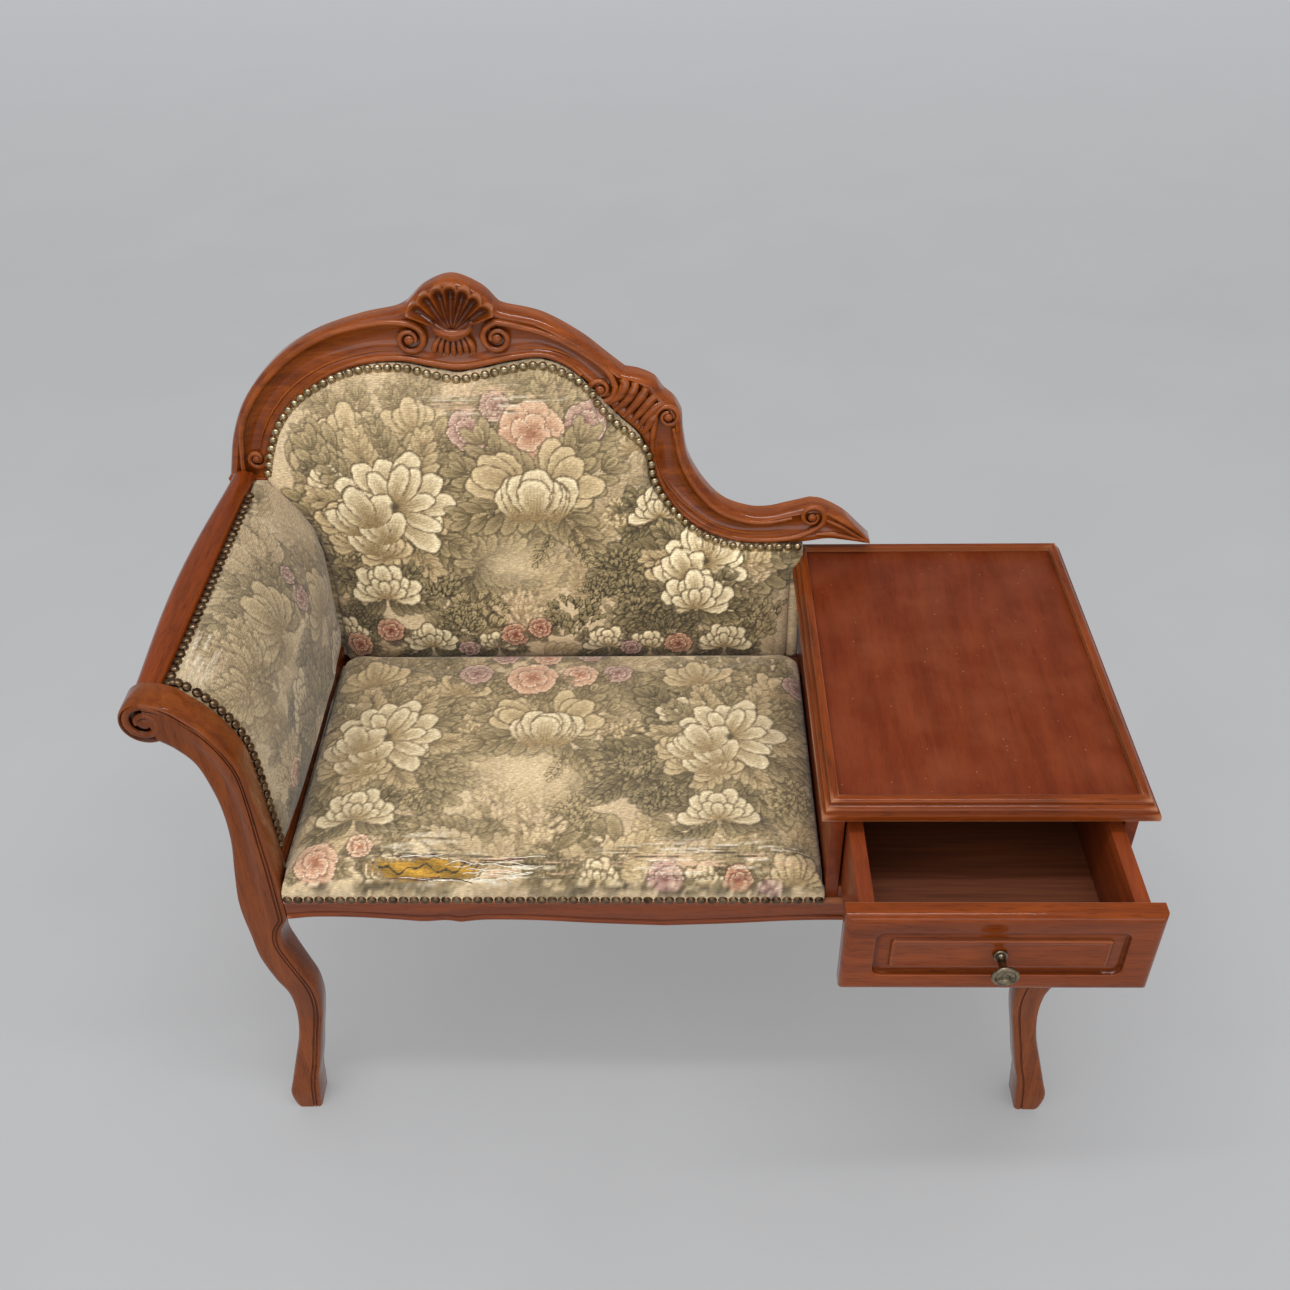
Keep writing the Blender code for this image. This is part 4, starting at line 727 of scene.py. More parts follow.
def rounded_ring(low, high, inset, depth, radius):
    """A ring round the drawer front, drawn in from its edges by an inset and with rounded corners."""
    x0, x1 = low.x + inset[0] * MM, high.x - inset[0] * MM
    z0, z1 = low.z + inset[1] * MM, high.z - inset[1] * MM
    ring = []
    r = radius * MM
    for x, z, start in ((x1 - r, z0 + r, -90), (x1 - r, z1 - r, 0), (x0 + r, z1 - r, 90), (x0 + r, z0 + r, 180)):
        for step in range(7):
            a = math.radians(start + 15 * step)
            ring.append((x + r * math.cos(a), low.y + depth * MM, z + r * math.sin(a)))
    return ring


def drawer_front():
    """Drawer front with a moulded edge, a sunk frame with rounded corners and a raised field."""
    low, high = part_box("drawer_front")
    bm = bmesh.new()
    sweep(bm, [rounded_ring(low, high, (across, up), depth, radius) for across, up, depth, radius in FRONT_STEPS])
    piece("drawer_face", bm, EDGE_X, "drawer", ["drawer_front"], angle=34)


def drawer_knob():
    """Cast knob: dished rosette, waisted stem and a domed head with a rolled rim."""
    low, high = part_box("knob")
    plate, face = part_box("knob_rosette")
    centre = (low + high) / 2
    place = Matrix.Translation((centre.x, 0, centre.z))
    dish = [(0, 0), (4.6, 0), (5.6, 0.5), (6.6, 0.4), (7.6, 1), (8, 1.8)]
    bm = bmesh.new()
    turned(bm, [*[(r * MM, plate.y + d * MM) for r, d in dish], (8 * MM, face.y), (0, face.y)], place)
    piece("knob_plate", bm, KNOB, "drawer", ["knob_rosette"])
    head = [(0, 0.5), (3.6, 0.3), (4.4, 1), (5.2, 0.3), (9.6, 0), (10.3, 0.9), (11, 0.1), (12.8, 0.3), (14, 1.1),
            (14.5, 2.4), (14.1, 3.8), (12, 5.2), (8, 7), (5, 11), (4.2, 17)]
    foot = [(4.6 * MM, high.y - 2.6 * MM), (5.6 * MM, high.y), (0, high.y)]
    bm = bmesh.new()
    turned(bm, [*[(r * MM, low.y + d * MM) for r, d in head], *foot], place)
    piece("knob_head", bm, KNOB, "drawer", ["knob"])


def boards():
    """Plain boards of the cabinet, drawer and frame with their edges eased, and the hidden solids' finishes."""
    for name in ("cabinet_left_side", "cabinet_right_side", "cabinet_top_rail", "top_panel"):
        eased(name, PANEL if name == "top_panel" else BOARD, 0.8 * MM)
    for name in ("drawer_left_side", "drawer_right_side"):
        eased(name, BOARD, 0.8 * MM, "drawer")
    for name, wood in (("left_side_rail", WOOD_Y), ("right_side_rail", WOOD_Y), ("arm_lower_rail", WOOD_Y),
                       ("left_rear_leg", WOOD_Z), ("right_rear_leg", WOOD_Z), ("back_left_stile", WOOD_Z),
                       ("rear_rail", WOOD_X), ("back_right_stile", WOOD_Z)):
        eased(name, wood, 1.4 * MM)
    finishes = {"beech": BEECH, "plywood": PLY, "steel": STEEL}
    for part in frame["record"]["subparts"]:
        finish = finishes.get(part["material_slot"])
        if finish:
            solid = frame["nodes"][part["node"]]
            solid.data.materials.clear()
            solid.data.materials.append(WOOD_Y if part["node"].endswith("runner") else finish)


# Soft goods

def stuffed(name, source, grain, held, hidden, limit, scale, pressure):
    """A pad blown up as cloth over its filling: the solid's form on an even grid, held where the cloth is fixed,
    swollen by pressure, kept within a limit and smoothed once more; the side that nobody sees is one face."""
    scene = bpy.context.scene
    form = placed(name + "_form", mesh_of(name + "_form", copy_of(source)))
    even_grid = form.modifiers.new("even_grid", "REMESH")
    even_grid.mode = "VOXEL"
    even_grid.voxel_size = grain
    graph = bpy.context.evaluated_depsgraph_get()
    mesh = bpy.data.meshes.new_from_object(form.evaluated_get(graph))
    form.modifiers.clear()
    form.data = mesh
    start = places(mesh)
    middle = start.mean(axis=0)
    start = middle + (start - middle) * scale
    mesh.vertices.foreach_set("co", start.ravel())
    fixed = form.vertex_groups.new(name="held")
    fixed.add([int(i) for i in np.nonzero(held(start))[0]], 1.0, "REPLACE")
    filling = form.modifiers.new("filling", "CLOTH")
    filling.settings.vertex_group_mass = "held"
    filling.settings.quality = 5
    filling.settings.use_pressure = True
    filling.settings.uniform_pressure_force = pressure
    filling.settings.effector_weights.gravity = 0
    last_frame = 20
    for step in range(1, last_frame + 1):
        scene.frame_set(step)
    graph = bpy.context.evaluated_depsgraph_get()
    after = places(form.evaluated_get(graph).data)
    form.modifiers.clear()
    scene.frame_set(1)
    normals = np.empty(len(start) * 3)
    mesh.vertices.foreach_get("normal", normals)
    outward = np.sum((after - start) * normals.reshape(-1, 3), axis=1)[:, None]
    move = (after - start) * np.where(outward < 0, 0.15, 1)
    size = np.linalg.norm(move, axis=1)[:, None]
    mesh.vertices.foreach_set("co", (start + move * np.minimum(1, limit / np.maximum(size, 1e-9))).ravel())
    bm = opened(mesh)
    bmesh.ops.delete(bm, geom=[face for face in bm.faces if hidden(face.normal)], context="FACES")
    bm.to_mesh(mesh)
    bm.free()
    finer = form.modifiers.new("finer", "SUBSURF")
    finer.levels = finer.render_levels = 2
    graph = bpy.context.evaluated_depsgraph_get()
    fine = bpy.data.meshes.new_from_object(form.evaluated_get(graph))
    bpy.data.objects.remove(form)
    bm = opened(fine)
    bmesh.ops.holes_fill(bm, edges=[edge for edge in bm.edges if edge.is_boundary], sides=0)
    return bm


def places(mesh):
    """The places of a mesh's points, one row each."""
    found = np.empty(len(mesh.vertices) * 3)
    mesh.vertices.foreach_get("co", found)
    return found.reshape(-1, 3)


def hexes(*texts):
    """Hex colours as sRGB values."""
    return [np.array([int(text[i:i + 2], 16) / 255 for i in (1, 3, 5)]) for text in texts]


# Yarns of the tapestry: foot of a petal, its pale end, its outline
CREAM = hexes("#86704c", "#eadcba", "#75634a")
SAND = hexes("#87714f", "#d2bd95", "#776549")
FADED = hexes("#a08a69", "#ccb793", "#927d60")
MOSS = hexes("#544730", "#b3a078", "#4a402d")
OLIVE = hexes("#3d3424", "#998963", "#332c20")
PEACH = hexes("#95614a", "#d9b498", "#e3cdb2")
ROSE = hexes("#744c49", "#bd9c8e", "#d2bba8")
RUST = hexes("#6f3a2d", "#b78a6d", "#cfb294")
GROUND, STRAW, WHITE, FOAM, SOOT = hexes("#b8a383", "#cab694", "#e6dfcf", "#b98a2f", "#3a3428")
WEFT_ROWS = 997                             # rows of weft before worn lines repeat


def dye(cloth, colour, share, where=...):
    """Lays a colour over part of the cloth, with a share of cover."""
    cloth["colour"][where] = cloth["colour"][where] * (1 - share) + colour * share


def petal(cloth, base, turn, length, width, tone, bend=0.0, tip=0.55, fade=0.0, ink=0.6, shadow=0.0):
    """One woven petal: dark at its foot, hatched along its length, with a pale rim and a broken outline.
    A petal with a shadow is fuller and paler, bends along its length and darkens what lies just behind it."""
    def half_width(share):
        return width / 2 * np.sin(math.pi * np.clip(share, 0.002, 0.998) ** 1.75) ** tip

    dark, light, outline = tone
    du = cloth["u"] - base[0]
    dv = cloth["v"] - base[1]
    near = np.nonzero((np.abs(du) < 1.25 * length) & (np.abs(dv) < 1.25 * length))[0]
    cos, sin = direction(turn)
    t = (du[near] * cos + dv[near] * sin) / length
    across = dv[near] * cos - du[near] * sin - bend * length * t * t
    if shadow:
        t = t + 2 * bend * np.clip(t, 0, 1) * across / length
        grown = 1 + 2 * MM / length
        cast = (t > 0.3) & (t < grown) & (np.abs(across) < half_width(t / grown) + 1.5 * MM)
        dye(cloth, dark * 0.6, shadow * (1 - fade), near[cast])
        half = half_width(t) * (1 + 0.05 * np.cos(26 * t))
    else:
        half = half_width(t)
    inside = (t > 0) & (t < 1) & (np.abs(across) < half)
    near, t, across, half = near[inside], t[inside], across[inside], half[inside]
    hatch = 0.5 + 0.5 * np.cos(across / half * math.pi * max(2, round(width / (4.4 * MM))))
    if shadow:
        shade = 0.04 + 0.88 * t - 0.42 * hatch * (1.1 - 0.75 * t)
        band, soft, cover = min(9 * MM, 0.4 * width), min(6 * MM, 0.3 * width), 0.7
    else:
        shade = 0.92 * t - 0.44 * hatch * (1.1 - 0.6 * t)
        band, soft, cover = 4.2 * MM, 1.4 * MM, 0.95
    colour = dark + (light - dark) * np.clip(shade, 0, 1)[:, None]
    rim = np.minimum(half - np.abs(across), (1 - t) * length * 0.9)
    pale = np.clip((rim - 0.8 * MM) / (1.2 * MM), 0, 1) * np.clip((band - rim) / soft, 0, 1)
    pale *= np.clip(3 * t - 0.6, 0, 1)
    colour = colour + (light - colour) * cover * pale[:, None]
    drawn = rim < 1.1 * MM
    colour[drawn] = colour[drawn] * (1 - ink) + outline * ink
    dye(cloth, colour, 1 - fade, near)


def plume(cloth, base, turn, length, tone, bend=0.0, fade=0.0):
    """A feathered leaf with curled lobes down both sides of its rib."""
    ahead, aside = direction(turn), direction(turn + 90)
    for t in np.linspace(0.06, 0.82, 5):
        spot = base + length * (t * ahead + bend * t * t * aside)
        heading = turn + math.degrees(math.atan(2 * bend * t))
        reach = length * 0.42 * (1.25 - 0.6 * t)
        for side in (-1, 1):
            petal(cloth, spot, heading + side * (58 - 22 * t), reach, reach * 0.46, tone, -side * 0.3, 0.5, fade, 0.5,
                  0.4)
    spot = base + length * (0.8 * ahead + bend * 0.64 * aside)
    petal(cloth, spot, turn + math.degrees(math.atan(2 * bend)), length * 0.28, length * 0.13, tone, 0, 0.6, fade)


def fan(cloth, place, size, start, end, count, tone, wide, tip, fade, bend=0.08):
    """A fan of petals from one foot, laid from both sides towards the middle."""
    for k in sorted(range(count), key=lambda k: -abs(k - (count - 1) / 2)):
        turn = start + (end - start) * k / (count - 1)
        length = size * (1 + 0.12 * math.sin(2.4 * k + place[0] * 90))
        petal(cloth, place, turn, length, size * wide, tone, bend * (1 if k < count / 2 else -1), tip, fade, 0.35, 0.7)


def peony(cloth, place, size, fade):
    """A full peony: long petals round a dark eye, and bulging petals that tumble down to its left."""
    for k, turn in enumerate((-75, -45, -12, 22, 55, 88, 120, 150, 182, 215, 255)):
        foot = place + 0.5 * size * direction(turn)
        plume(cloth, foot, turn, size * 1.05, (SAND, MOSS)[k % 2], 0.25 if turn < 90 else -0.25, fade + 0.1)
    for far, turn, big in ((1.18, 228, 0.55), (1.05, 205, 0.55), (1.12, 258, 0.5)):
        fan(cloth, place + size * far * direction(turn), size * big, 30, 190, 7, SAND, 0.6, 0.45, fade)
    fan(cloth, place, size, -65, 195, 10, CREAM, 0.5, 0.36, fade, 0.26)
    fan(cloth, place, size * 0.8, -45, 175, 6, CREAM, 0.46, 0.36, fade, 0.3)
    for far, turn, big in ((0.95, 240, 0.6), (0.82, 212, 0.66), (0.62, 250, 0.62), (0.5, 208, 0.74)):
        foot = place + size * far * direction(turn) - (0, 0.2 * size)
        fan(cloth, foot, size * big, 55, 150, 3, CREAM, 0.68, 0.34, fade, 0.3)
    eye = np.clip(1.3 - np.hypot(cloth["u"] - place[0], cloth["v"] - place[1]) / (0.09 * size), 0, 0.8)
    dye(cloth, OLIVE[0], eye[:, None])


def rose(cloth, place, size, fade, tone):
    """A round rose: a ring of broad petals, a smaller ring and a dark curled heart."""
    for k in range(3):
        plume(cloth, place, 200 + 70 * k, size * 1.5, MOSS, 0.2, fade + 0.1)
    for ring, (count, reach) in enumerate(((6, 1.0), (4, 0.6))):
        for k in range(count):
            turn = 360 * (k + 0.5 * ring) / count + 20
            petal(cloth, place, turn, size * reach, size * reach * 1.05, tone, 0.1, 0.34, fade, 0.9, 0.5)
    heart = np.hypot(cloth["u"] - place[0], cloth["v"] - place[1]) < 0.16 * size
    cloth["colour"][heart] = tone[0]


def bush(cloth, place, size, fade, tone):
    """A rounded bush of short leaves that fan upwards."""
    rng = np.random.default_rng(abs(round(place[0] / MM)) + 1)
    for k in range(46):
        turn = math.degrees(rng.uniform(0, 2 * math.pi))
        far = size * 0.85 * math.sqrt(rng.uniform())
        foot = place + far * direction(turn) - (0, 0.25 * size)
        lean = 90 - 70 * (foot[0] - place[0]) / size + rng.uniform(-25, 25)
        length = size * rng.uniform(0.42, 0.62)
        petal(cloth, foot, lean, length, size * 0.24, tone, rng.uniform(-0.2, 0.2), 0.6, fade, 0.7)


def twig(cloth, place, size, fade, turn):
    """A drooping twig with paired pointed leaflets on a stalk that is thin at both ends."""
    tip = place + size * direction(turn)
    stalk = line([place, tip], 3 * MM)
    for k, (u, v) in enumerate(stalk):
        r = 1.2 * MM * (0.4 + 0.6 * math.sin(math.pi * k / (len(stalk) - 1)))
        dye(cloth, MOSS[2], 0.8, (np.abs(cloth["u"] - u) < r) & (np.abs(cloth["v"] - v) < r))
    for k in range(4):
        foot = place + (tip - place) * (0.2 + 0.22 * k)
        for side in (-1, 1):
            petal(cloth, foot, turn + side * 38, size * 0.36, size * 0.18, MOSS, 0, 1.0, fade)
    petal(cloth, tip, turn, size * 0.36, size * 0.18, MOSS, 0, 1.0, fade)


def small(cloth, place, size, fade):
    """A small open flower on dark leaves."""
    for turn in (-20, 35, 145, 200):
        plume(cloth, place, turn, size * 1.3, OLIVE, 0.2, fade + 0.1)
    fan(cloth, place, size, -5, 185, 9, CREAM, 0.52, 0.42, fade)
    fan(cloth, place - (0, 0.1 * size), size * 0.66, 25, 155, 5, CREAM, 0.5, 0.42, fade)


def spray(cloth, place, size, fade):
    """A sandy fan of petals over feathered leaves."""
    for turn in (20, 70, 110, 160):
        plume(cloth, place, turn, size * 1.4, MOSS, 0.2, fade + 0.15)
    fan(cloth, place, size, 10, 170, 8, SAND, 0.5, 0.45, fade)


def tulip(cloth, place, size, fade):
    """A wide open flower: three full bunches of petals in front, two sprays behind them and long leaves."""
    for turn in (5, 35, 145, 175, 215, 325):
        plume(cloth, place, turn, size * 2.1, MOSS, 0.3 if turn < 90 else -0.3, fade + 0.1)
    for side in (-1, 1):
        foot = place + (side * 0.3 * size, 0.1 * size)
        fan(cloth, foot, size * 1.25, 90 - side * 20, 90 - side * 95, 5, SAND, 0.55, 0.42, fade, 0.25)
    for side in (-1, 1, 0):
        foot = place + (side * 0.45 * size, -0.85 * size)
        fan(cloth, foot, size * (1.35 - 0.15 * abs(side)), 68, 112, 4, CREAM, 0.62, 0.4, fade, 0.12)


def clear(cloth, place, size, _):
    """A soft patch of open ground."""
    soft = np.exp(-(((cloth["u"] - place[0]) / 1.4) ** 2 + (cloth["v"] - place[1]) ** 2) / size ** 2)
    dye(cloth, STRAW * 1.06, 0.8 * soft[:, None])


def leaves(cloth, place, size, fade, first, last, tone):
    """Six feathered leaves spread between two angles."""
    for k, turn in enumerate(np.linspace(first, last, 6)):
        plume(cloth, place + 0.3 * size * direction(turn), turn, size * 0.8, tone, 0.25 * (-1) ** k, fade)


def ground(cloth, seed, count, span):
    """The woven ground: straw-coloured clouds crossed by many faint curled leaves."""
    rng = np.random.default_rng(seed)
    u, v = cloth["u"], cloth["v"]
    cloud = np.zeros(len(u))
    for k in range(7):
        a, b = rng.uniform(-60, 60, 2)
        cloud += np.sin(a * u + b * v + rng.uniform(0, 6.28)) / 7
    cloth["colour"] = GROUND + (STRAW - GROUND) * (0.5 + 0.9 * cloud[:, None])
    for k in range(count):
        place = np.array((rng.uniform(span[0], span[1]), rng.uniform(span[2], span[3])))
        tone = (FADED, SAND, SAND, MOSS, MOSS)[int(rng.integers(0, 5))]
        plume(cloth, place, rng.uniform(0, 180), rng.uniform(52, 100) * MM, tone, rng.uniform(-0.5, 0.5),
              rng.uniform(0.15, 0.5))


def worn(cloth, place, size, strength, seed):
    """Threadbare cloth: broken pale and dark weft lines inside an oval; place and size in millimetres."""
    rng = np.random.default_rng(seed)
    u, v = cloth["u"], cloth["v"]
    (middle_u, middle_v), (half_u, half_v) = mm(place), mm(size)
    inside = 1 - np.hypot((u - middle_u) / half_u, (v - middle_v) / half_v)
    rows = np.floor(v / (2.1 * MM)).astype(int) % WEFT_ROWS
    phase = rng.uniform(0, 6.28, WEFT_ROWS)[rows]
    kind = rng.uniform(0, 1, WEFT_ROWS)[rows][:, None]
    lines = np.sin(u / (17 * MM) + phase) + 0.6 * np.sin(u / (6.1 * MM) + 2 * phase)
    shown = np.clip(inside * 2.2, 0, 1) * strength * np.clip(1.4 * lines, 0, 1)
    dye(cloth, np.where(kind < 0.5, WHITE, np.where(kind < 0.72, SOOT, PEACH[1])), shown[:, None])


def weave(item, cloth, fade):
    """Puts the painted colours and the place on the cloth into the mesh, a little faded towards the ground."""
    rng = np.random.default_rng(5)
    colour = cloth["colour"] * (1 - fade[:, None]) + GROUND * fade[:, None]
    colour = np.clip(colour * (1 + 0.05 * rng.standard_normal((len(colour), 1))), 0, 1)
    colour = np.where(colour <= 0.04045, colour / 12.92, ((colour + 0.055) / 1.055) ** 2.4)
    painted = item.data.attributes.new("weave", "FLOAT_COLOR", "POINT")
    painted.data.foreach_set("color", np.column_stack([colour, np.ones(len(colour))]).ravel())
    laid = item.data.attributes.new("cloth", "FLOAT_VECTOR", "POINT")
    laid.data.foreach_set("vector", np.column_stack([cloth["u"], cloth["v"], 0 * cloth["u"]]).ravel())


def flowers(cloth, plan, fade=0.0):
    """Lays the flowers of a plan in order: a kind, and the place and size in millimetres of each one of it."""
    for kind, spots in plan:
        for u, v, size, *more in spots:
            kind(cloth, mm((u, v)), size * MM, fade, *more)


SEAT_PLAN = [
    (leaves, [(-344, 30, 130, -60, 60, MOSS), (90, 30, 130, -70, 50, MOSS), (-344, 30, 125, 120, 240, MOSS),
              (90, 30, 125, 120, 240, OLIVE), (-14, -5, 70, 150, 300, OLIVE), (-290, -10, 70, 230, 350, MOSS)]),
    (bush, [(-14, -5, 30, OLIVE), (11, -62, 26, OLIVE), (-272, -8, 30, MOSS), (-300, -60, 26, MOSS),
            (168, -60, 30, MOSS), (-40, 60, 24, SAND), (-222, 60, 24, SAND)]),
    (spray, [(-364, 140, 48), (60, 140, 48), (165, 120, 44), (-250, 120, 40)]),
    (small, [(-389, 78, 34), (40, 78, 34)]),
    (peony, [(-330, 40, 62), (97, 40, 62)]),
    (small, [(-346, -98, 44), (80, -98, 44)]),
    (clear, [(-155, -25, 44)]),
    (tulip, [(-133, 62, 44)]),
    (twig, [(-104, 18, 44, -110), (-84, 18, 44, -70)]),
    (bush, [(-87, -89, 30, MOSS), (-180, -70, 34, FADED), (-130, -110, 28, FADED)]),
    (rose, [(-197, 206, 17, ROSE), (-84, 209, 15, ROSE), (-140, 204, 18, PEACH), (-232, 164, 22, ROSE),
            (-46, 164, 19, ROSE), (-95, 160, 23, PEACH), (-157, 154, 32, PEACH), (190, 150, 20, ROSE)]),
    (small, [(-300, -175, 26), (-60, -180, 26), (60, -185, 24)]),
    (spray, [(165, -185, 36)]),
    (leaves, [(-110, -185, 34, 30, 150, MOSS)]),
    (rose, [(-382, -160, 24, PEACH), (-334, -140, 14, PEACH), (17, -176, 20, ROSE), (100, -178, 16, RUST),
            (136, -190, 14, ROSE)])]
BACK_PLAN = [
    (spray, [(-369, 345, 50), (-290, 360, 44), (-20, 330, 40)]),
    (leaves, [(-120, 330, 90, 20, 160, MOSS), (-330, 250, 140, -60, 60, MOSS), (-330, 250, 130, 120, 240, MOSS),
              (60, 180, 130, -70, 60, MOSS), (48, 174, 110, 120, 240, OLIVE), (-260, 190, 100, -70, 20, OLIVE),
              (-196, 160, 90, 40, 140, MOSS)]),
    (bush, [(-42, 175, 30, OLIVE), (-20, 130, 30, OLIVE), (-70, 140, 22, OLIVE), (-285, 150, 30, OLIVE),
            (-400, 200, 26, MOSS), (140, 90, 34, MOSS), (120, 150, 30, FADED), (-30, 250, 26, SAND)]),
    (rose, [(-223, 366, 26, ROSE), (-80, 371, 26, ROSE), (-190, 395, 18, ROSE), (-147, 362, 40, PEACH)]),
    (small, [(-397, 296, 34), (10, 240, 36)]),
    (peony, [(-326, 262, 70), (70, 176, 52)]),
    (clear, [(-175, 175, 40)]),
    (tulip, [(-146, 280, 50)]),
    (twig, [(-128, 226, 46, -115), (-104, 226, 46, -65)]),
    (bush, [(-229, 104, 36, MOSS), (-175, 110, 30, FADED), (-105, 96, 34, OLIVE), (-260, 90, 26, OLIVE)]),
    (small, [(-352, 128, 46), (57, 112, 48)]),
    (leaves, [(-395, 60, 40, 30, 150, OLIVE), (20, 60, 44, 30, 150, OLIVE)]),
    (small, [(-415, 56, 30), (-300, 46, 36), (-210, 44, 28), (-60, 46, 32), (96, 46, 34), (-5, 44, 28)]),
    (rose, [(-185, 66, 18, RUST), (-151, 78, 15, RUST), (-353, 74, 18, RUST), (-400, 44, 18, RUST), (34, 50, 18, RUST),
            (-30, 42, 14, ROSE), (-250, 40, 14, ROSE)])]
ARM_PLAN = [
    (leaves, [(200, -60, 90, 60, 200, MOSS), (90, -90, 100, 30, 170, FADED)]),
    (spray, [(40, -120, 60)]),
    (bush, [(-70, -70, 40, SAND)]),
    (leaves, [(-60, -130, 80, 40, 150, SAND)]),
    (spray, [(160, -190, 60)]),
    (leaves, [(120, -200, 80, 150, 260, MOSS)]),
    (small, [(20, -215, 44)]),
    (leaves, [(60, -280, 80, 30, 150, MOSS)]),
    (bush, [(-70, -230, 40, SAND)]),
    (rose, [(120, -130, 16, ROSE), (128, -100, 12, ROSE), (-60, -255, 20, PEACH)]),
    (small, [(190, -285, 44)]),
    (leaves, [(-60, -320, 60, 20, 130, OLIVE)])]


def finish_pad(name, bm, nodes):
    """Turns a fine pad mesh into a piece of tapestry over foam."""
    item = piece(name, bm, TAPESTRY, nodes=nodes, angle=180)
    return item


def loose_threads(seat):
    """Pulled weft threads that lie across the worn patch and beside it."""
    cover = surface(seat.data)
    rng = np.random.default_rng(21)
    sides, places_along, radius = 5, 9, 0.45 * MM
    bm = bmesh.new()
    for k in range(30):
        x = rng.uniform(-0.3, -0.15)
        y = TEAR_LINE + (rng.uniform(-11, 12) if x > -0.235 else rng.choice((-10, 10)) + rng.uniform(-1, 2)) * MM
        length = rng.uniform(18, 60) * MM
        rings = []
        for t in np.linspace(0, 1, places_along):
            spot = Vector((x + length * t, y + 2.4 * MM * math.sin(5 * t + k) * t, 0.5))
            hit = cover.ray_cast(spot, Vector((0, 0, -1)))[0]
            lift = hit.z + (0.5 + 1.6 * math.sin(math.pi * t) * (k % 3 == 0)) * MM
            rings.append([(spot.x, spot.y + radius * math.cos(a), lift + radius * math.sin(a))
                          for a in np.linspace(0, 2 * math.pi, sides, endpoint=False)])
        sweep(bm, rings)
    item = piece("seat_threads", bm, TAPESTRY, angle=180)
    place = places(item.data)
    order = (np.arange(len(place)) // (sides * places_along))[:, None]
    yarn = np.where(order % 4 == 3, ROSE[0], np.where(order % 7 == 5, SOOT, WHITE))
    weave(item, {"u": place[:, 0], "v": place[:, 1], "colour": yarn}, np.zeros(len(place)))


BACK_NAILS = [(-488, 297), (-478, 331), (-462, 366), (-432, 399), (-390, 424), (-352, 436), (-302, 438), (-266, 429),
              (-235, 423), (-205, 428), (-168, 436), (-132, 440), (-96, 425), (-73, 405), (-62, 385), (-38, 359),
              (-14, 338), (-2, 318), (4, 283), (23, 248), (48, 219), (80, 197), (119, 186), (190, 186)]


TEAR_LINE = -0.1635                         # the crack along the worn-through patch, in y


def torn(u, v):
    """How far a place is inside the worn-through patch at the front of the seat; above 0 is inside."""
    middle_u, middle_v, half_length = -0.257, -0.1645, 0.064
    along = (u - middle_u) / half_length
    across = v - middle_v - 2.2 * MM * np.sin(u * 95) - 1.1 * MM * np.sin(u * 260)
    reach = np.where(across > 0, 10 * MM, 12.5 * MM)
    return 1 - np.sqrt(along ** 2 + (across / reach) ** 2)


def add_tucks(bm, *tucks):
    """Adds turned-in edges of cloth to a pad."""
    extra = bmesh.new()
    for rings in tucks:
        sweep(extra, rings)
    bmesh.ops.recalc_face_normals(extra, faces=extra.faces)
    bm.from_mesh(mesh_of("tucks", extra))


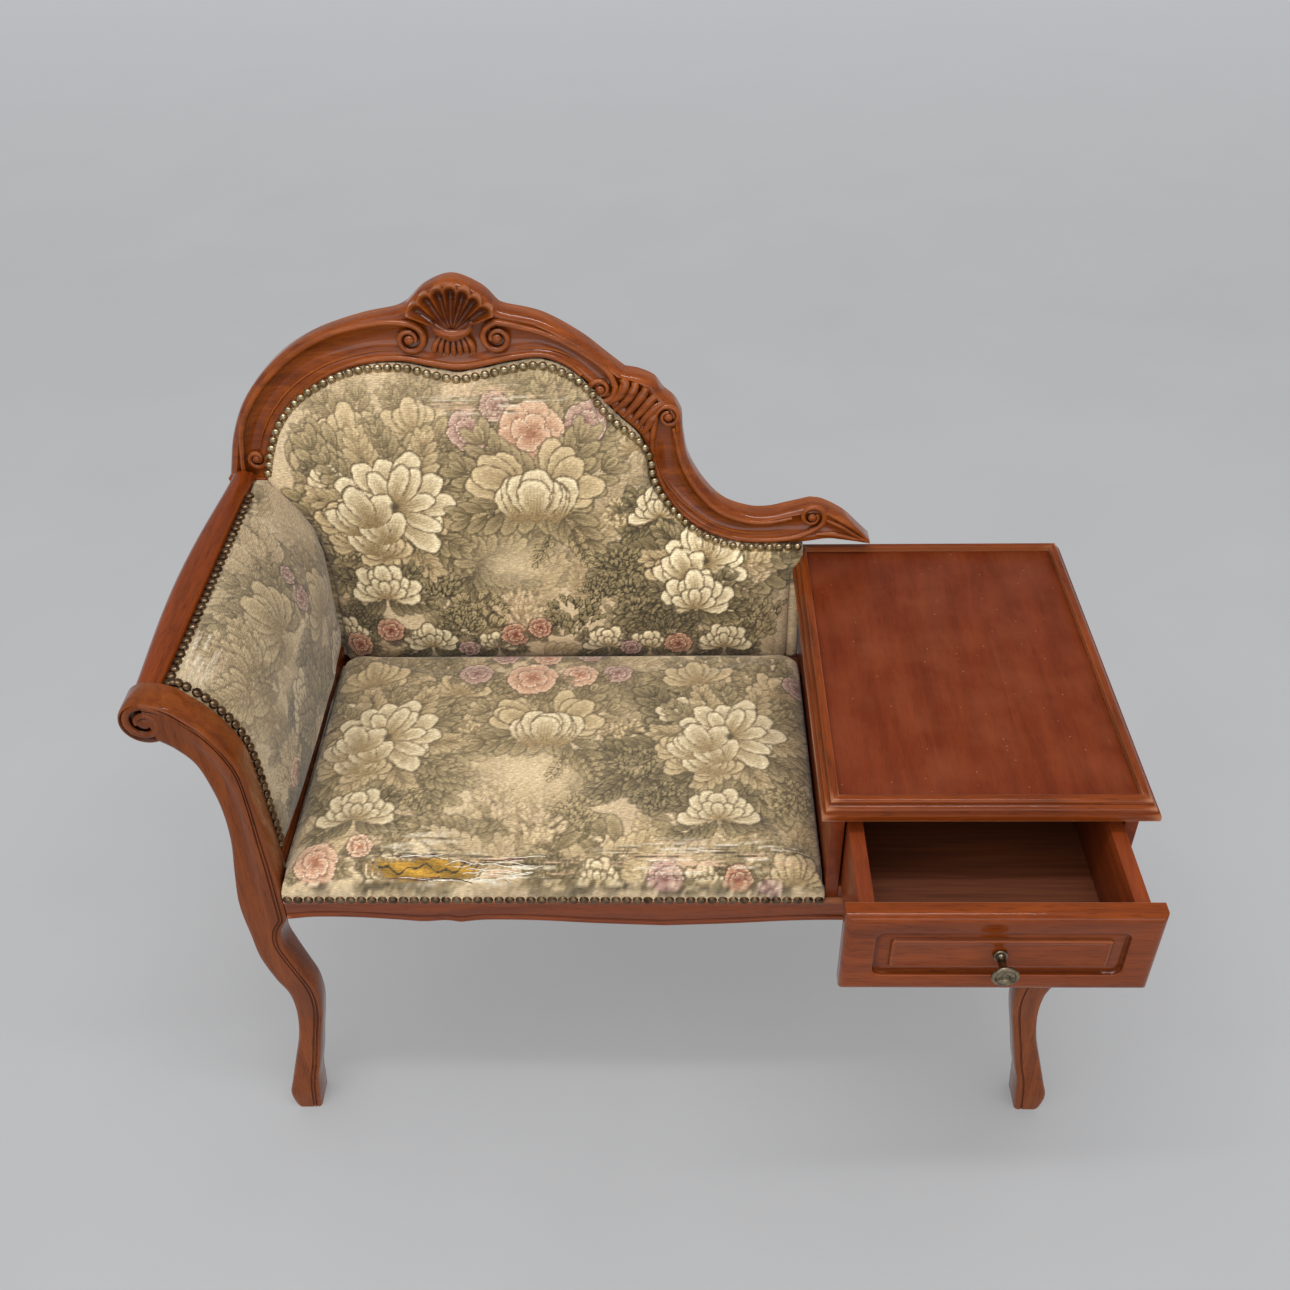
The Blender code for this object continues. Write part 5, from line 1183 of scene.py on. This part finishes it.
def seat_pad():
    """Loose-looking seat: foam on a board under tapestry that is pulled down over the front rail."""
    low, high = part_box("seat_pad")
    bm = stuffed("seat", "seat_pad", 7.2 * MM, lambda p: p[:, 2] < low.z + 9 * MM,
                 lambda normal: normal.z < -0.85, 6 * MM, 0.997, 3)
    corner = 18 * MM
    for vert in bm.verts:
        vert.co.x = min(max(vert.co.x, low.x + 0.2 * MM), high.x - 0.2 * MM)
        vert.co.y = min(max(vert.co.y, low.y - 0.6 * MM), high.y - 0.2 * MM)
        vert.co.z = max(vert.co.z, low.z)
        for side, edge in ((1, low.x), (-1, high.x)):
            a = corner - side * (vert.co.x - edge)
            b = corner - (vert.co.y - low.y)
            if a > 0 and b > 0:
                square = math.hypot(a, b) / max(a, b)
                vert.co.x = edge + side * (corner - min(corner, a * square))
                vert.co.y = low.y - 0.8 * MM + corner - min(corner, b * square)
        u, v = vert.co.x, vert.co.y
        sunk = min(1, max(0, 3 * float(torn(u, v))))
        sat_in = max(0, 1 - math.hypot((u + 0.11) / 0.26, (v + 0.02) / 0.2))
        vert.co.z -= 3.5 * MM * sunk + 5 * MM * sat_in
    front = []
    for x in np.linspace(low.x + 0.5 * MM, high.x - 0.5 * MM, 160):
        full = np.interp(min(x - low.x, high.x - x), (0, 9 * MM, 22 * MM), (0.52, 0.72, 1))
        front.append([(x, low.y + d * MM, RAIL_TOP + z * MM * full) for d, z in
                      ((0.2, 0.6), (-1, 0.8), (-1.3, 3), (-1.3, 16), (-0.8, 23), (1, 28), (4, 31.5), (9, 33), (9, 12))])
    behind_post = -0.1385
    side = [[(low.x + d * MM, y, RAIL_TOP + z * MM) for d, z in ((1, 10), (-4.2, 9), (-4.4, 12), (-3, 16), (1, 18))]
            for y in np.linspace(behind_post, high.y - 2 * MM, 90)]
    add_tucks(bm, front, side)
    item = finish_pad("seat_cushion", bm, ["seat_pad"])
    place = places(item.data)
    drop = np.clip(high.z - 16 * MM - place[:, 2], 0, 0.05)
    cloth = {"u": place[:, 0].copy(), "v": place[:, 1] - drop}
    ground(cloth, 11, 150, (low.x, high.x, low.y - 0.03, high.y))
    flowers(cloth, SEAT_PLAN, 0.12)
    cloth["colour"] = np.clip(cloth["colour"] * 1.06, 0, 1)
    for spot, size, strength, seed in (((60, -150), (150, 26), 0.75, 3), ((-190, -164), (130, 20), 0.85, 4),
                                       ((-215, -176), (90, 14), 0.9, 9), ((-270, -140), (70, 34), 0.5, 6)):
        worn(cloth, spot, size, strength, seed)
    u, v = cloth["u"][:, None], cloth["v"][:, None]
    tear = torn(u, v)
    foam = tear > 0
    # painted shade: a dark line along the crack in the foam, for the shadow inside it
    crack_shade = (np.abs(v - TEAR_LINE - 3 * MM * np.sin(u * 115) - 2 * MM * np.sin(u * 290)) < 0.95 * MM) & foam
    frayed = (np.abs(tear) < 0.16) & (np.sin(u * 900) > -0.4)
    filling = FOAM * (0.86 + 0.16 * np.sin(u * 90 + v * 300))
    for shown, yarn in ((foam, filling), (crack_shade, SOOT * 0.8), (frayed, SAND[0])):
        cloth["colour"] = np.where(shown, yarn, cloth["colour"])
    weave(item, cloth, np.full(len(place), 0.12))
    loose_threads(item)


def on_back(points):
    """Points as x, offset and height on the plane of the back."""
    return (np.column_stack([points, np.ones(len(points))]) @ np.array(BACK.inverted()).T)[:, :3]


def back_pad():
    """Sprung-looking back inside the crest, fullest in the middle."""
    low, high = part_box("back_pad")
    rear = BACK.to_3x3() @ Vector((0, 1, 0))
    bm = stuffed("back", "back_pad", 7 * MM, lambda p: on_back(p)[:, 1] > -6 * MM,
                 lambda normal: normal.dot(rear) > 0.85, 8 * MM, 0.999, 4)
    rows = line(mm(BACK_NAILS), 4 * MM)
    spots = on_back([vert.co for vert in bm.verts])
    near = np.min(np.hypot(spots[:, :1] - rows[:, 0], spots[:, 2:] - rows[:, 1]), axis=1)
    allowed = 4.5 * MM + np.sqrt(60 * MM * np.clip(near - 5 * MM, 0, 1))
    for vert, (x, off, h), most in zip(bm.verts, spots, allowed):
        vert.co = BACK @ Vector((x, max(off, -most), h))
    side_fold = ((-2, 16), (-2, -3), (6, -3.4), (11, -2), (14, 2), (14, 16))
    side = [[BACK @ Vector((high.x + d * MM, off * MM, h)) for d, off in side_fold]
            for h in np.linspace(12 * MM, 182 * MM, 80)]
    arm_fold = ((3, -0.3), (3, -1.2), (-15, -1.2), (-16, -0.7), (-15, -0.3))
    heights = np.linspace(14 * MM, 285 * MM, 60)
    edge = [spots[np.abs(spots[:, 2] - h) < 5 * MM, 0].min() for h in heights]
    arm_side = [[BACK @ Vector((x + d * MM, off * MM, h)) for d, off in arm_fold] for x, h in zip(edge, heights)]
    add_tucks(bm, side, arm_side)
    item = finish_pad("back_cushion", bm, ["back_pad"])
    local = on_back(places(item.data))
    cloth = {"u": local[:, 0].copy(), "v": local[:, 2].copy()}
    ground(cloth, 23, 130, (low.x, high.x, 0, 0.45))
    flowers(cloth, BACK_PLAN)
    cloth["colour"] = np.clip(cloth["colour"] * 1.08, 0, 1)
    worn(cloth, (-190, 402), (120, 26), 0.7, 8)
    weave(item, cloth, np.interp(cloth["v"], (0.2, 0.3, 0.42), (0, 0.1, 0.38)))


def arm_pad():
    """Padded inside of the arm: tapestry that rolls over from the rail down to the seat."""
    low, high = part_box("arm_pad")
    lining = surface(frame["nodes"]["arm_outer_panel"].data)

    def fixed(place):
        backed = np.array([lining.find_nearest(Vector(p))[3] < 9 * MM for p in place])
        return backed | (place[:, 0] < low.x + 8 * MM) | (place[:, 1] < low.y + 6 * MM)

    bm = stuffed("arm", "arm_pad", 8 * MM, fixed, lambda normal: False, 5 * MM, 0.998, 3)
    for vert in bm.verts:
        vert.co.y = min(max(vert.co.y, low.y + 0.2 * MM), high.y - 0.2 * MM)
        tuck = max(0, (vert.co.y - high.y + 48 * MM) / (48 * MM))
        vert.co.y += tuck * (BACK_FOOT.y - 1.5 * MM + math.tan(RAKE) * (vert.co.z - RAIL_TOP) - high.y)
    item = finish_pad("arm_cushion", bm, ["arm_pad"])
    place = places(item.data)
    guide = line(from_side(POST_INNER, -1), MM)
    nearest = np.argmin(np.hypot(place[:, :1] - guide[:, 0], place[:, 2:] - guide[:, 1]), axis=1)
    cloth = {"u": place[:, 1].copy(), "v": -MM * nearest}
    ground(cloth, 37, 60, (low.y, high.y, -0.34, 0.0))
    flowers(cloth, ARM_PLAN, 0.12)
    worn(cloth, (-80, -40), (60, 34), 0.6, 12)
    cloth["colour"] = cloth["colour"] * 0.9
    weave(item, cloth, np.full(len(place), 0.15))
    return item


NAIL_PITCH = 12 * MM
NAIL_RADIUS = 5.8 * MM


def nails(arm):
    """Rows of domed brass nails along the edges of the cloth."""
    bm = bmesh.new()
    for x, h in line(mm(BACK_NAILS), NAIL_PITCH):
        button(bm, (x, -5.8 * MM, h), NAIL_RADIUS, 4.4 * MM)
    piece("nails_back", bm, NAIL, matrix=BACK, angle=180)
    bm = bmesh.new()
    low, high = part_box("seat_pad")
    for x in np.linspace(low.x + 6 * MM, high.x - 6 * MM, int((high.x - low.x) / NAIL_PITCH)):
        button(bm, (x, low.y - 1.5 * MM, RAIL_TOP + 4 * MM), NAIL_RADIUS, 3.6 * MM)
    piece("nails_seat", bm, DULL_AND_SHADED_NAIL, angle=180)
    cover = surface(arm.data)
    bm = bmesh.new()
    low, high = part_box("arm_pad")
    guides = [(x, low.y + 5 * MM, z + 12 * MM) for x, z in line(from_side(POST_INNER, -1), NAIL_PITCH)[2:-3]]
    guides.extend((low.x + 9 * MM, y, high.z + 5 * MM)
                  for y in np.arange(low.y + 5 * MM, high.y - 8 * MM, NAIL_PITCH))
    for guide in guides:
        spot, facing, _, _ = cover.find_nearest(Vector(guide))
        button(bm, spot + facing * 1.4 * MM, NAIL_RADIUS, 4 * MM, facing)
    piece("nails_arm", bm, DULL_AND_SHADED_NAIL, angle=180)


def covers():
    """Linen on the backs of the arm and the back."""
    for source in ("back_outer_panel", "arm_outer_panel"):
        eased(source, LINEN, 1 * MM)


# Studio

def studio():
    """Floor, three lamps and an even white surround that shines less in reflections."""
    bm = bmesh.new()
    bmesh.ops.create_grid(bm, x_segments=2, y_segments=2, size=12)
    floor = placed("floor", mesh_of("floor", bm))
    floor.data.materials.append(studio_floor())
    for name, place, aim, size, power in (("key", (-1.4, -1.9, 4.2), (0, 0.1, 0.4), (4.2, 4.2), 46),
                                          ("front", (0.3, -3.6, 1.1), (0, 0, 0.1), (4.5, 1.5), 34),
                                          ("strip", (0.1, -0.55, 2.7), (0.05, 0, 0.5), (1.9, 0.13), 20)):
        lamp = bpy.data.lights.new(name, "AREA")
        lamp.shape = "RECTANGLE"
        lamp.size, lamp.size_y = size
        lamp.energy = power
        holder = placed(name, lamp)
        holder.location = place
        holder.rotation_euler = (Vector(aim) - Vector(place)).to_track_quat("-Z", "Y").to_euler()
    world = bpy.data.worlds.new("studio")
    world.use_nodes = True
    tree = world.node_tree
    rays = node(tree, "LightPath")
    level = node(tree, "MapRange", {"Value": rays.outputs["Is Glossy Ray"], "To Min": 1.0, "To Max": 0.26})
    tree.nodes["Background"].inputs["Color"].default_value = STUDIO_WHITE
    tree.links.new(level.outputs["Result"], tree.nodes["Background"].inputs["Strength"])
    bpy.context.scene.world = world
    bpy.context.scene.view_settings.view_transform = "Standard"


def camera():
    """Camera of the photograph: its focal length in pixels, its tilt and its place."""
    image, focal = 1290, 1374.2
    pitch, yaw, roll = 0.6787, -0.0263, -0.01957
    ahead = Vector((math.sin(yaw) * math.cos(pitch), math.cos(yaw) * math.cos(pitch), -math.sin(pitch)))
    level = Vector((math.cos(yaw), -math.sin(yaw), 0))
    above = level.cross(ahead)
    right = level * math.cos(roll) + above * math.sin(roll)
    up = above * math.cos(roll) - level * math.sin(roll)
    lens = bpy.data.cameras.new("camera")
    lens.sensor_width = 36
    lens.lens = focal * lens.sensor_width / image
    holder = placed("camera", lens)
    turn = Matrix((right, up, -ahead)).transposed().to_4x4()
    holder.matrix_world = Matrix.Translation((0.0270, -1.2192, 1.6228)) @ turn
    bpy.context.scene.camera = holder


studio()
camera()
crest_board()
crest_beads()
crest_shell()
crest_reeds()
front_post()
right_leg()
front_rail()
arm_rail()
top_moulding()
drawer_front()
drawer_knob()
boards()
seat_pad()
back_pad()
nails(arm_pad())
covers()
